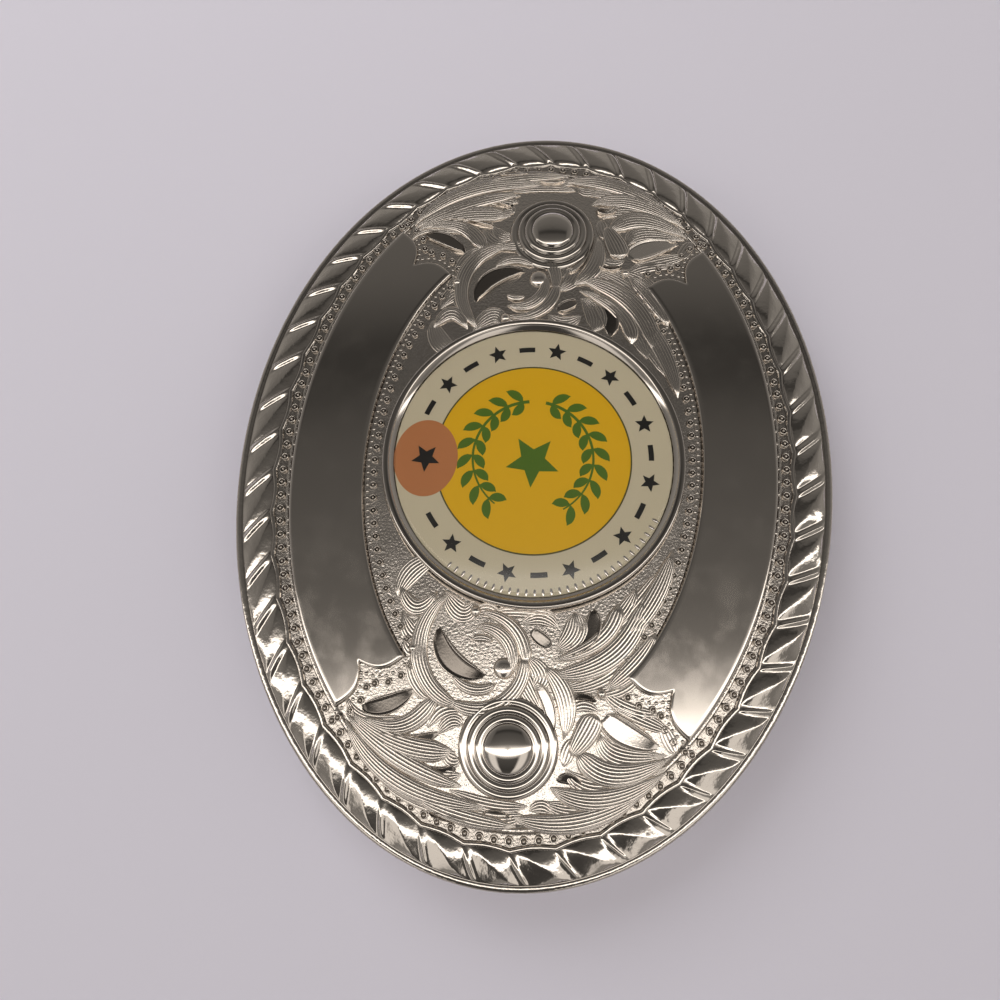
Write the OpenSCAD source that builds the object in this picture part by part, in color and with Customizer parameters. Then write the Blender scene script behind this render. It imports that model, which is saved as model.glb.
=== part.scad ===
// A western trophy buckle, in millimetres. The cast oval plate has a rope edge, two ribbon panels,
// two stepped bosses and scroll leaves. A collar on it holds the round emblem under a clear dome,
// and behind it stand a strap loop and a prong.
// +X runs along the strap, +Y is up as worn, +Z is out of the face.
// The origin is under the middle of the plate, on the surface that the buckle lies on.

/* [Plate] */
// Length of the oval along the strap
plate_length = 101.6; // [96:0.2:108]
// Height of the oval across the strap
plate_height = 76.2; // [72:0.2:82]
// Thickness of the metal behind the field
plate_thickness = 2.2; // [2:0.1:3]
// How far the middle of the field stands above its two ends
length_bend = 2.5; // [1:0.1:4]
// How far the middle of the field stands above its two long sides
cross_crown = 1.0; // [0.4:0.1:2]

/* [Rope edge and bead channel] */
// Number of slanted lobes round the edge
rope_lobes = 46; // [40:1:52]
// Width of the plain rim outside the rope
rim_width = 0.95; // [0.6:0.05:1.4]
// Width of the rope from the rim to the bead channel
rope_width = 3.4; // [2.8:0.1:4]
// How far a lobe's outer end runs ahead of its inner end
rope_slant = 1.8; // [0:0.1:3]
// Height of a lobe above the valleys beside it
lobe_rise = 0.85; // [0.4:0.05:1.2]
// How far each lobe's round inner end bulges into the channel
scallop = 0.4; // [0:0.05:0.6]
// Distance of the first valley round the edge from the +X axis
rope_start = 1.25; // [0:0.05:5]
// Width of the sunk channel that the beads stand in
channel_width = 2.2; // [1.8:0.1:2.6]
// Depth of the bead channel below the field
channel_depth = 0.25; // [0.1:0.05:0.4]

/* [Ribbons, bosses and scrolls] */
// Height of the ribbon panels above the field
ribbon_rise = 0.55; // [0.3:0.05:0.8]
// Half height of the outer edge of the two ribbons
ribbon_outer = 30.3; // [29:0.1:30.6]
// Half height of the inner edge of the two ribbons
ribbon_inner = 21.2; // [20.6:0.1:22]
// Radius of a boss at its foot
boss_radius = 5.85; // [5:0.05:6.6]
// Distance of the boss on the loop's side from the middle
boss_at_loop = 34.9; // [33:0.1:36]
// Distance of the boss on the prong's side from the middle
boss_at_prong = 33.3; // [33:0.1:36]
// Height of the scroll leaves above the field
leaf_rise = 0.45; // [0.2:0.05:0.7]

/* [Emblem] */
// Outer radius of the collar
bezel_radius = 19.0; // [18:0.1:19.2]
// Height of the collar from its seat
bezel_height = 2.2; // [1.8:0.1:2.6]
// Radius of the printed disc
disc_radius = 17.5; // [16.5:0.1:17.6]
// Thickness of the printed disc
disc_thickness = 0.6; // [0.4:0.1:0.8]
// Height of the clear dome above the disc at its middle
dome_height = 1.5; // [1:0.1:2]
// Depth of the collar's seat below the middle of the field
seat_depth = 0.8; // [0.5:0.1:1]

/* [Strap loop and prong] */
// Height of the soldering pads above the surface the buckle lies on
stand_height = 8.8; // [8:0.1:10]
// Distance of the loop from the middle, along the strap
loop_x = 27; // [24:0.5:30]
// Width of strap that the loop takes
strap_width = 38; // [30:1:38]
// Diameter of the loop's wire
wire_diameter = 3.2; // [3:0.1:4]
// Distance of the prong from the middle, along the strap
prong_x = 33; // [28:0.5:34]
// Diameter of the prong
prong_diameter = 4; // [3:0.1:5]

/* [Hidden] */

half_l = plate_length / 2;
half_h = plate_height / 2;
part_gap = 0.1;          // clearance between pieces that seat on each other
pad_drop = 0.3;          // how far the pads stand out of the back at the plate's ends
pad_radius = 3.8;
pad_height = 1.6;        // from the pads' flats up into the plate
datum = stand_height + pad_drop;
edge_drop = 0.52;        // the rim's outer edge lies this far below the field's own curve
rim_drop = 0.45;         // and the foot of the rope this far
edge_thickness = 1.1;
back_margin = 1.2;       // width of the bevel round the back

// The face's own curve: height of the field over the point x, y
function face_z(x, y) =
    datum + length_bend * (1 - pow(x / half_l, 2)) + cross_crown * (1 - pow(y / half_h, 2));

// Points round the oval are placed by their distance round the rope's middle line, so that
// lobes are alike at the sides and at the ends. An inset is measured square to the outline.
rope_mid = rim_width + rope_width / 2;
function inset_point(t, inset) =
    let (n = [cos(t) / half_l, sin(t) / half_h])
    [half_l * cos(t), half_h * sin(t)] - inset * n / norm(n);
arc_steps = 180;
function arc_step(i) =
    norm(inset_point((i + 1) * 360 / arc_steps, rope_mid) - inset_point(i * 360 / arc_steps, rope_mid));
arc_table = [for (i = 0, s = 0; i <= arc_steps; s = s + arc_step(i), i = i + 1) [s, i * 360 / arc_steps]];
rope_length = arc_table[arc_steps][0];
function wrap(s) = s - rope_length * floor(s / rope_length);
function oval_point(s, inset) = inset_point(lookup(wrap(s), arc_table), inset);

lobe_pitch = rope_length / rope_lobes;
lobe_columns = 6;
rope_columns = rope_lobes * lobe_columns;
field_columns = rope_columns / 3;
inner_columns = field_columns / 2;
channel_outer = rim_width + rope_width + scallop + 0.2;
channel_inner = channel_outer + channel_width;
wall_run = 0.2;          // run of the channel's sloping inner wall

// A ring of the plate is [points]; each ring starts at the first valley
function plain_ring(inset, count, lift, lead = 0) =
    [for (k = [0:count - 1])
        let (q = oval_point(rope_start + lead + k * rope_length / count, inset))
        [q[0], q[1], face_z(q[0], q[1]) + lift]];

// A ring across the lobes, at share v of the rope's width from the rim (0) to the channel (1)
valley_arch = 0.35;
roundness = 0.6;
function swell(u) = pow(max(0, sin(180 * u)), roundness);
function rope_ring(v) =
    [for (k = [0:rope_columns - 1])
        let (
            p = (k % lobe_columns) / lobe_columns,
            inset = rim_width + (rope_width + scallop * sin(180 * p)) * v,
            q = oval_point(rope_start + rope_slant * (1 - v) + k * lobe_pitch / lobe_columns, inset),
            foot = -rim_drop * (1 - v) - channel_depth * v,
            rise = valley_arch * sin(180 * v) + lobe_rise * swell(v) * swell(p)
        )
        [q[0], q[1], face_z(q[0], q[1]) + foot + rise]];

// Rings inside the field, shrunk towards the middle by a share of the oval
function inner_ring(share, count, lift) =
    [for (k = [0:count - 1])
        let (q = share * oval_point(rope_start + k * rope_length / count, channel_inner))
        [q[0], q[1], face_z(q[0], q[1]) + lift]];

rope_shares = [0, 0.14, 0.5, 0.86, 1];
top_rings = concat(
    [plain_ring(0, rope_columns, -edge_drop, rope_slant)],
    [for (v = rope_shares) rope_ring(v)],
    [plain_ring(channel_outer, field_columns, -channel_depth)],
    [plain_ring(channel_inner - wall_run, field_columns, -channel_depth)],
    [plain_ring(channel_inner, field_columns, 0)],
    [for (share = [0.72, 0.4]) inner_ring(share, inner_columns, 0)],
    [[[0, 0, face_z(0, 0)]]]
);
back_rings = concat(
    [plain_ring(0, field_columns, -edge_drop - edge_thickness, rope_slant)],
    [plain_ring(back_margin, field_columns, -plate_thickness, rope_slant)],
    [for (share = [0.8, 0.5, 0.25]) inner_ring(share, inner_columns, -plate_thickness)],
    [[[0, 0, face_z(0, 0) - plate_thickness]]]
);

// Triangles between ring a, which starts at point number a, and ring b inside it, which has as
// many points or a whole number of times fewer. A ring of one point closes the middle.
function turned(f, up) = up ? [f[2], f[1], f[0]] : f;
function stitch(a, na, b, nb, up) =
    let (m = na / nb)
    [for (i = [0:na - 1])
        let (j = floor(i / m), near = (i - j * m < m / 2) ? j : (j + 1) % nb)
        turned([a + i, a + (i + 1) % na, b + near], up)];
function fill(a, na, b, nb, up) =
    let (m = na / nb)
    nb == 1 ? [] :
    [for (j = [0:nb - 1]) turned([a + (j * m + ceil(m / 2)) % na, b + (j + 1) % nb, b + j], up)];
function chain(rings, first, up) =
    let (starts = [for (i = 0, s = first; i < len(rings); s = s + len(rings[i]), i = i + 1) s])
    [for (i = [0:len(rings) - 2])
        let (na = len(rings[i]), nb = len(rings[i + 1]))
        each concat(
            stitch(starts[i], na, starts[i + 1], nb, up),
            fill(starts[i], na, starts[i + 1], nb, up)
        )];
function flat(rings) = [for (ring = rings) each ring];

top_count = len(flat(top_rings));

module plate_blank() {
    edge_wall = concat(
        stitch(0, rope_columns, top_count, field_columns, false),
        fill(0, rope_columns, top_count, field_columns, false)
    );
    polyhedron(
        points = concat(flat(top_rings), flat(back_rings)),
        faces = concat(chain(top_rings, 0, true), edge_wall, chain(back_rings, top_count, false))
    );
}

// A slab that follows the face's curve, from below the field to a height above it. What stands
// on the field with an even height is cut from it.
slab_cells = 10;
slab_depth = 1;
module face_slab(rise) {
    n = slab_cells;
    place = function (i, j) [(i / n - 0.5) * 2 * half_l, (j / n - 0.5) * 2 * half_h];
    level = function (lift) [for (i = [0:n], j = [0:n])
        let (q = place(i, j)) [q[0], q[1], face_z(q[0], q[1]) + lift]];
    at = function (i, j) i * (n + 1) + j;
    base = (n + 1) * (n + 1);
    sheet = [for (i = [0:n - 1], j = [0:n - 1])
        each [[at(i, j), at(i + 1, j + 1), at(i + 1, j)], [at(i, j), at(i, j + 1), at(i + 1, j + 1)]]];
    rim = concat(
        [for (i = [0:n - 1]) at(i, 0)], [for (j = [0:n - 1]) at(n, j)],
        [for (i = [n:-1:1]) at(i, n)], [for (j = [n:-1:1]) at(0, j)]
    );
    polyhedron(
        points = concat(level(rise), level(-slab_depth)),
        faces = concat(
            sheet,
            [for (f = sheet) [f[2] + base, f[1] + base, f[0] + base]],
            [for (k = [0:len(rim) - 1])
                let (a = rim[k], b = rim[(k + 1) % len(rim)])
                each [[a, b, b + base], [a, b + base, a + base]]]
        )
    );
}

// Children are 2D outlines; each is cut from the slab
module on_slab(rise) {
    intersection() {
        translate([0, 0, datum - 2 * slab_depth]) linear_extrude(8 * slab_depth) children();
        face_slab(rise);
    }
}

// Outline of the ribbon on the +Y side: two oval arcs joined at each end by a brace of two round
// bulges with a notch between them
ribbon_outer_x = 44;
ribbon_inner_x = 32.5;
ribbon_corner = [26.4, 13.4];
ribbon_notch = [27.3, 18.8];
ribbon_tip = [31.9, 20.9];
brace_bulges = [1.1, 1.2];
bulge_steps = 4;
function oval_arc(rx, ry, x0, x1, steps) =
    [for (i = [0:steps]) let (x = x0 + (x1 - x0) * i / steps) [x, ry * sqrt(1 - pow(x / rx, 2))]];
function bulge(a, b, h) =
    let (along = b - a, out = [along[1], -along[0]] / norm(along))
    [for (i = [1:bulge_steps - 1]) a + along * i / bulge_steps + out * h * sin(180 * i / bulge_steps)];
function brace_end() = concat(
    [ribbon_corner], bulge(ribbon_corner, ribbon_notch, brace_bulges[0]),
    [ribbon_notch], bulge(ribbon_notch, ribbon_tip, brace_bulges[1]), [ribbon_tip]
);
function mirror_x(points) = [for (i = [len(points) - 1:-1:0]) [-points[i][0], points[i][1]]];
module ribbon_outline() {
    inner_reach = ribbon_corner[0] - 2;
    outer_reach = ribbon_tip[0] - 2;
    polygon(concat(
        oval_arc(ribbon_inner_x, ribbon_inner, -inner_reach, inner_reach, 10),
        brace_end(),
        oval_arc(ribbon_outer_x, ribbon_outer, outer_reach, -outer_reach, 12),
        mirror_x(brace_end())
    ));
}

// Puts its children on the face over x, y, level with the face there
module on_face(x, y) {
    tilt_x = atan(2 * length_bend * x / pow(half_l, 2));
    tilt_y = atan(2 * cross_crown * y / pow(half_h, 2));
    translate([x, y, face_z(x, y)]) rotate([-tilt_y, tilt_x, 0]) children();
}

// A round boss of three steps and a dome, on the long axis at x. Columns: share of the radius, height
boss_steps = [
    [1, 0.3], [0.9, 0.55], [0.82, 0.35], [0.8, 0.8],
    [0.66, 0.9], [0.64, 1.2], [0.5, 1.3], [0.34, 1.7]
];
boss_rise = 1.92;
boss_root = -0.8;
module boss(x) {
    on_face(x, 0)
        rotate_extrude($fn = 28)
            polygon(concat([[0, boss_root], [boss_radius, boss_root]],
                [for (s = boss_steps) [s[0] * boss_radius, s[1]]], [[0, boss_rise]]));
}

// Scrollwork of one end of the plate; the other end is its mirror image. Every lock of cut lines
// and every smooth leaf follows a bent spine through three points, and x is measured from the
// middle of the plate.
// Locks. Columns: x and y at the start, the middle and the end; width at the start, middle and end
locks = [
    [33.5, -19.5, 39.0, -13.5, 41.2, -5.5, 0.6, 1.6, 1.4],
    [32.9, -19.5, 37.2, -12.5, 38.9, -6.4, 0.5, 1.5, 1.4],
    [32.6, -19.0, 35.2, -12.6, 34.8, -6.6, 0.5, 1.6, 2.2],
    [33.0, -17.6, 33.6, -12.6, 29.8, -9.0, 0.4, 1.5, 1.4],
    [17.2, -14.8, 19.8, -12.6, 17.6, -10.2, 0.5, 1.5, 0.6],
    [10.0, 18.0, 15.8, 16.2, 21.4, 12.6, 0.5, 1.8, 1.2],
    [15.8, 15.0, 23.2, 11.6, 26.4, 4.0, 1.2, 2.0, 1.0],
    [17.2, 11.8, 21.6, 9.9, 24.6, 4.4, 1.4, 1.4, 0.6],
    [20.2, 16.4, 24.0, 14.4, 27.4, 10.8, 0.6, 1.8, 0.8],
    [25.4, 3.4, 28.8, 6.2, 33.4, 6.3, 0.8, 1.7, 0.5],
    [30.2, 9.8, 32.6, 8.8, 35.2, 7.2, 1.6, 2.0, 0.7],
    [34.4, 8.0, 36.8, 12.4, 34.2, 18.8, 1.4, 2.0, 0.5],
    [38.8, 5.2, 39.6, 11.6, 35.8, 18.4, 0.9, 1.8, 0.4],
    [42.3, 1.0, 42.3, 8.4, 38.4, 16.0, 0.6, 1.7, 0.5],
    [41.4, -10.0, 42.9, -4.6, 43.4, 1.6, 0.6, 1.4, 0.6]
];
// Smooth leaves, with the same columns
smooth_leaves = [
    [21.5, -9.6, 25.7, -7.7, 27.1, -3.0, 0.5, 2.9, 0.6],
    [17.9, 8.7, 21.2, 8.4, 24.0, 5.6, 1.0, 2.0, 0.4],
    [21.2, 1.5, 22.2, 2.8, 22.9, 4.2, 0.8, 1.8, 0.8],
    [31.9, -18.0, 31.5, -14.8, 29.3, -11.6, 0.6, 2.4, 0.5],
    [35.0, -13.2, 35.7, -10.8, 34.2, -8.2, 0.3, 0.9, 0.5],
    [30.2, 10.8, 32.1, 13.4, 33.3, 17.8, 1.8, 3.4, 0.6],
    [27.2, 2.3, 29.6, 4.2, 33.2, 5.0, 0.8, 1.6, 0.5],
    [38.1, 5.8, 37.7, 7.3, 38.4, 9.0, 0.4, 1.3, 0.3],
    [37.9, -8.9, 38.3, -7.3, 37.5, -5.8, 0.3, 1.1, 0.8],
    [28.8, 6.6, 28.4, 8.3, 28.9, 10.0, 0.3, 0.7, 0.3]
];
// The round scroll: a stem that winds in about its eye, with its radius at every quarter of the way
scroll_eye = [25.3, -4.2];
scroll_start = -150;
scroll_turn = 335;
scroll_radii = [8.8, 6.5, 5.4, 5.3, 5.5];
stem_width = 1.9;        // at its start; the stem narrows to half of it
stem_steps = 20;
// Round knobs at the roots of the locks. Columns: x, y, radius
knobs = [[26.0, -1.3, 1.3], [24.6, -12.4, 0.6], [27.8, 10.4, 0.6], [19.6, -5.3, 0.7]];
lock_rise = 0.25;
spine_steps = 6;
bead_lane = 0.9;         // ground kept for the dots beside a ribbon
ground_sides = 46;

// A row's edge: side is 1 or -1, t runs from 0 to 1 along the spine
function through(a, b, c, t) =
    a * (1 - t) * (1 - 2 * t) + b * 4 * t * (1 - t) + c * t * (2 * t - 1);
function spine_point(row, t) = through([row[0], row[1]], [row[2], row[3]], [row[4], row[5]], t);
function spine_edge(row, t, side) =
    let (
        way = spine_point(row, t + 0.01) - spine_point(row, t - 0.01),
        left = [-way[1], way[0]] / norm(way)
    )
    spine_point(row, t) + left * side * through(row[6], row[7], row[8], t) / 2;
module spine_shape(row) {
    polygon(concat(
        [for (i = [0:spine_steps]) spine_edge(row, i / spine_steps, 1)],
        [for (i = [spine_steps:-1:0]) spine_edge(row, i / spine_steps, -1)]
    ));
}
function scroll_radius(u) = lookup(u, [for (i = [0:4]) [i / 4, scroll_radii[i]]]);
function scroll_edge(u, side) =
    let (
        angle = scroll_start + scroll_turn * u,
        reach = scroll_radius(u) + side * stem_width / 2 * (1 - 0.5 * u)
    )
    scroll_eye + reach * [cos(angle), sin(angle)];
module scroll_stem() {
    polygon(concat(
        [for (i = [0:stem_steps]) scroll_edge(i / stem_steps, 1)],
        [for (i = [stem_steps:-1:0]) scroll_edge(i / stem_steps, -1)]
    ));
}
// What the scrollwork may cover: the field inside the channel, clear of ribbons, bosses and collar
module scroll_ground(clear) {
    difference() {
        polygon([for (k = [0:ground_sides - 1])
            oval_point(k * rope_length / ground_sides, channel_inner + clear)]);
        offset(delta = clear + bead_lane) ribbon_outline();
        offset(delta = clear + bead_lane) mirror([0, 1]) ribbon_outline();
        circle(r = bezel_radius + clear, $fn = 60);
        translate([boss_at_loop, 0]) circle(r = boss_radius + 0.1, $fn = 30);
    }
}
module raised(rise, clear) {
    on_slab(rise) intersection() {
        scroll_ground(clear);
        children();
    }
}
knob_foot = 0.2;         // height of a knob's straight foot
knob_top_share = 0.45;
knob_sides = 7;
module knob(x, y, radius) {
    translate([x, y, face_z(x, y)]) hull() {
        translate([0, 0, -knob_foot]) cylinder(h = 2 * knob_foot, r = radius, $fn = knob_sides);
        cylinder(h = leaf_rise + knob_foot, r = radius * knob_top_share, $fn = knob_sides);
    }
}
// The three kinds keep unlike clearances, so that no two of their walls run into one another
ground_clear = [0.5, 0.43, 0.36];
module scrollwork() {
    raised(lock_rise, ground_clear[0]) for (row = locks) spine_shape(row);
    raised((lock_rise + leaf_rise) / 2, ground_clear[1]) scroll_stem();
    raised(leaf_rise, ground_clear[2]) for (row = smooth_leaves) spine_shape(row);
    for (row = knobs) knob(row[0], row[1], row[2]);
}

// Flat pads on the back, where the loop's feet and the prong are soldered
strap_play = 2;          // room on each side of the strap
loop_half = strap_width / 2 + strap_play + wire_diameter / 2;
pad_places = [[loop_x, loop_half], [loop_x, -loop_half], [-prong_x, 0]];
module solder_pads() {
    for (p = pad_places)
        translate([p[0], p[1], stand_height]) cylinder(h = pad_height, r = pad_radius, $fn = 24);
}

seat_z = face_z(0, 0) - seat_depth;
module face_plate() {
    color("silver") difference() {
        union() {
            plate_blank();
            on_slab(ribbon_rise) ribbon_outline();
            mirror([0, 1, 0]) on_slab(ribbon_rise) ribbon_outline();
            boss(boss_at_loop);
            boss(-boss_at_prong);
            scrollwork();
            mirror([1, 0, 0]) scrollwork();
            solder_pads();
        }
        translate([0, 0, seat_z]) cylinder(h = bezel_height, r = bezel_radius + 2 * part_gap, $fn = 92);
    }
}

// The collar: an inner ledge that carries the disc, and a round-topped rim with an inward slope.
// Columns: radius less the outer radius, height from the seat
ledge_width = 1.2;
ledge_height = 0.7;
bezel_bottom = seat_z + part_gap;
disc_z = bezel_bottom + ledge_height + part_gap / 2;
module bezel() {
    inner = disc_radius + 0.1 - bezel_radius;
    h = bezel_height;
    profile = [
        [inner - ledge_width, 0], [0, 0], [0, h - 0.35], [-0.12, h - 0.1], [-0.4, h], [-0.68, h - 0.1],
        [-0.85, h - 0.4], [inner, h - 0.65], [inner, ledge_height], [inner - ledge_width, ledge_height]
    ];
    color("gainsboro") translate([0, 0, bezel_bottom])
        rotate_extrude($fn = 96) polygon([for (p = profile) [bezel_radius + p[0], p[1]]]);
}

module emblem_disc() {
    color("gold") translate([0, 0, disc_z]) cylinder(h = disc_thickness, r = disc_radius, $fn = 96);
}

// The clear dome: a short straight edge, then a round cap
dome_edge = 0.35;
dome_steps = 8;
module emblem_dome() {
    cap = dome_height - dome_edge;
    ball = (disc_radius * disc_radius + cap * cap) / (2 * cap);
    half_angle = asin(disc_radius / ball);
    arc = [for (i = [0:dome_steps])
        let (a = half_angle * (1 - i / dome_steps))
        [ball * sin(a), dome_height - ball + ball * cos(a)]];
    color("white", 0.4) translate([0, 0, disc_z + disc_thickness + part_gap / 2])
        rotate_extrude($fn = 96) polygon(concat([[0, 0], [disc_radius, 0]], arc));
}

// The strap loop: two flanged feet, two round corners and a bar, bent from round wire
flange_radius = 3.2;
flange_height = 1.2;
bend_radius = 3.5;
wire_radius = wire_diameter / 2;
foot_top = stand_height - part_gap;
module loop_half_wire() {
    leg_foot = wire_radius + bend_radius;
    translate([0, loop_half, foot_top - flange_height])
        cylinder(h = flange_height, r = flange_radius, $fn = 48);
    translate([0, loop_half, leg_foot])
        cylinder(h = foot_top - leg_foot - flange_height / 2, r = wire_radius, $fn = 48);
    translate([0, loop_half - bend_radius, leg_foot]) rotate([90, 0, 90]) rotate([0, 0, -90])
        rotate_extrude(angle = 90, $fn = 48) translate([bend_radius, 0]) circle(r = wire_radius, $fn = 48);
}
module belt_loop() {
    bar = loop_half - bend_radius;
    color("darkgray") translate([loop_x, 0, 0]) {
        loop_half_wire();
        mirror([0, 1, 0]) loop_half_wire();
        translate([0, bar, wire_radius]) rotate([90, 0, 0]) cylinder(h = 2 * bar, r = wire_radius, $fn = 48);
    }
}

// The prong: a straight post with a bevelled tip, on a flange
tip_bevel = 0.6;
module prong() {
    r = prong_diameter / 2;
    color("darkgray") translate([-prong_x, 0, 0]) {
        cylinder(h = tip_bevel, r1 = r - tip_bevel, r2 = r, $fn = 48);
        translate([0, 0, tip_bevel])
            cylinder(h = foot_top - tip_bevel - flange_height / 2, r = r, $fn = 48);
        translate([0, 0, foot_top - flange_height]) cylinder(h = flange_height, r = flange_radius, $fn = 48);
    }
}

face_plate();
bezel();
emblem_disc();
emblem_dome();
belt_loop();
prong();
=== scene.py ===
import math

import bpy
import numpy as np
from bpy.props import FloatProperty, FloatVectorProperty, IntProperty, PointerProperty
from mathutils import Matrix, Vector


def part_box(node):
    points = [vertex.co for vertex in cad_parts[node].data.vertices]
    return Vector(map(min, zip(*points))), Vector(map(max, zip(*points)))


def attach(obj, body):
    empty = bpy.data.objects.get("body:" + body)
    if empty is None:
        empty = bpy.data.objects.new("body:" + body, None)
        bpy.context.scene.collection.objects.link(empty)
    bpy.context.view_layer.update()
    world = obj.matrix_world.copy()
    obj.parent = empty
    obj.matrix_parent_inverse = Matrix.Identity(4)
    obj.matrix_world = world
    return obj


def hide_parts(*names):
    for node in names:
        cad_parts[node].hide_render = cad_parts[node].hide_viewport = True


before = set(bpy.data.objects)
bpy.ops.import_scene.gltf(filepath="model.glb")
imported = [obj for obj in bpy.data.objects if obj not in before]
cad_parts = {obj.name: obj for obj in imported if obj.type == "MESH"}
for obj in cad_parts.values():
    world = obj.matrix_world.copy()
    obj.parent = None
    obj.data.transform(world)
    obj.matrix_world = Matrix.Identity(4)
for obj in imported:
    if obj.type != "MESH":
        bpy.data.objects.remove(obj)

bl_info = {
    "name": "Western trophy buckle",
    "version": (1, 0, 0),
    "blender": (4, 5, 0),
    "location": "View3D > Sidebar > Buckle",
    "description": "Builds the looks of a cast oval buckle with a domed emblem",
    "category": "Add Mesh",
}

# Lengths in the tables and in the working functions are in millimetres.
MM = 0.001

# Scrollwork of the end with the strap loop; the other end is its mirror image. Each row follows a
# bent spine through three points. Columns: x and y at the start, the middle and the end; width at
# the start, middle and end
LOCKS = [
    (33.5, -19.5, 39.9, -12.4, 41.7, -1.6, 0.6, 1.6, 0.9),
    (32.9, -19.5, 37.4, -12.6, 39.7, -5.0, 0.5, 1.5, 0.8),
    (32.6, -19.0, 35.6, -13.0, 36.0, -6.4, 0.5, 1.8, 1.6),
    (33.0, -17.6, 33.6, -12.6, 29.8, -9.0, 0.4, 1.5, 1.4),
    (17.2, -14.8, 19.8, -12.6, 17.6, -10.2, 0.5, 1.5, 0.6),
    (10.0, 18.0, 15.8, 16.2, 21.4, 12.6, 0.5, 1.8, 1.2),
    (15.8, 15.0, 23.2, 11.6, 26.4, 4.0, 1.2, 2.0, 1.0),
    (17.2, 11.8, 21.6, 9.9, 24.6, 4.4, 1.4, 1.4, 0.6),
    (20.2, 16.4, 24.0, 14.4, 27.4, 10.8, 0.6, 1.8, 0.8),
    (25.4, 3.4, 28.8, 6.2, 33.4, 6.3, 0.8, 1.7, 0.5),
    (30.2, 9.8, 32.6, 8.8, 35.2, 7.2, 1.6, 2.0, 0.7),
    (34.4, 8.0, 36.8, 12.4, 34.2, 18.8, 1.4, 2.0, 0.5),
    (38.8, 5.2, 39.6, 11.6, 35.8, 18.4, 0.9, 1.8, 0.4),
    (42.3, 1.0, 42.3, 8.4, 38.4, 16.0, 0.6, 1.7, 0.5),
    (41.4, -10.0, 42.9, -4.6, 43.4, 1.6, 0.6, 1.4, 0.6),
]
# Low locks that fill the ground between the others, with the same columns
FILLERS = [
    (31.0, -19.6, 33.2, -17.2, 32.6, -12.0, 0.3, 0.7, 0.4),
    (20.4, -14.2, 22.9, -12.3, 19.6, -11.2, 0.5, 1.3, 0.5),
    (23.4, -13.6, 24.8, -12.4, 22.6, -11.6, 0.4, 0.9, 0.4),
    (25.6, -12.4, 28.2, -11.4, 30.4, -9.2, 0.5, 1.2, 0.6),
    (33.6, -9.6, 31.3, -8.2, 31.2, -5.6, 0.5, 1.1, 0.5),
    (34.2, -8.4, 32.6, -6.9, 33.0, -5.6, 0.4, 0.9, 0.5),
    (39.8, -14.6, 41.6, -9.6, 42.4, -4.8, 0.4, 1.0, 0.6),
    (38.0, -10.2, 38.9, -7.8, 38.4, -5.2, 0.5, 1.1, 0.5),
    (40.2, -6.4, 41.3, -1.8, 41.1, 2.8, 0.4, 0.8, 0.4),
    (42.2, -3.6, 42.8, -0.6, 42.1, 2.4, 0.5, 1.0, 0.5),
    (19.9, -5.6, 19.4, -3.8, 20.2, -2.4, 0.4, 1.0, 0.4),
    (17.4, -9.4, 19.8, -7.0, 18.4, -5.6, 0.5, 1.4, 0.5),
    (20.6, 0.4, 19.6, 2.6, 20.8, 4.8, 0.4, 1.0, 0.4),
    (19.5, -3.0, 19.0, 0.6, 19.3, 4.4, 0.5, 0.9, 0.5),
    (18.6, 6.6, 21.3, 6.7, 23.4, 4.6, 0.8, 1.5, 0.5),
    (19.6, 14.0, 24.8, 11.2, 27.8, 5.0, 0.8, 1.8, 0.7),
    (12.4, 16.9, 17.4, 14.4, 21.6, 10.4, 0.5, 1.6, 0.8),
    (15.2, 13.8, 18.4, 12.6, 21.4, 9.8, 0.4, 1.3, 0.6),
    (22.6, 15.6, 26.6, 13.2, 28.0, 8.8, 0.4, 1.0, 0.5),
    (24.4, 1.2, 26.4, 3.2, 28.0, 2.2, 0.4, 1.2, 0.5),
    (30.2, 7.0, 29.4, 8.4, 29.9, 10.2, 0.3, 0.7, 0.3),
    (27.6, 10.6, 29.3, 13.6, 29.6, 17.4, 0.4, 0.9, 0.4),
    (29.0, 11.4, 30.2, 15.0, 31.4, 18.6, 0.4, 1.0, 0.4),
    (30.6, 17.6, 32.4, 18.6, 33.8, 19.4, 0.4, 0.9, 0.4),
    (32.4, 10.6, 34.6, 12.8, 34.0, 18.4, 0.5, 1.4, 0.4),
    (36.6, 6.8, 38.3, 11.2, 35.2, 18.6, 0.6, 1.2, 0.4),
    (40.4, 4.6, 40.9, 9.6, 37.6, 16.8, 0.6, 1.1, 0.4),
    (41.6, 3.0, 41.0, 4.4, 41.6, 5.6, 0.3, 0.8, 0.3),
    (33.2, 7.6, 34.6, 7.0, 36.4, 6.6, 0.4, 0.9, 0.4),
    (36.0, -7.4, 36.8, -6.4, 36.6, -5.6, 0.4, 1.0, 0.5),
    (24.8, 0.2, 27.6, 1.4, 30.4, 3.4, 0.4, 1.1, 0.5),
    (13.8, -10.8, 15.4, -13.6, 18.6, -15.0, 0.5, 1.4, 0.5),
]
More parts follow.
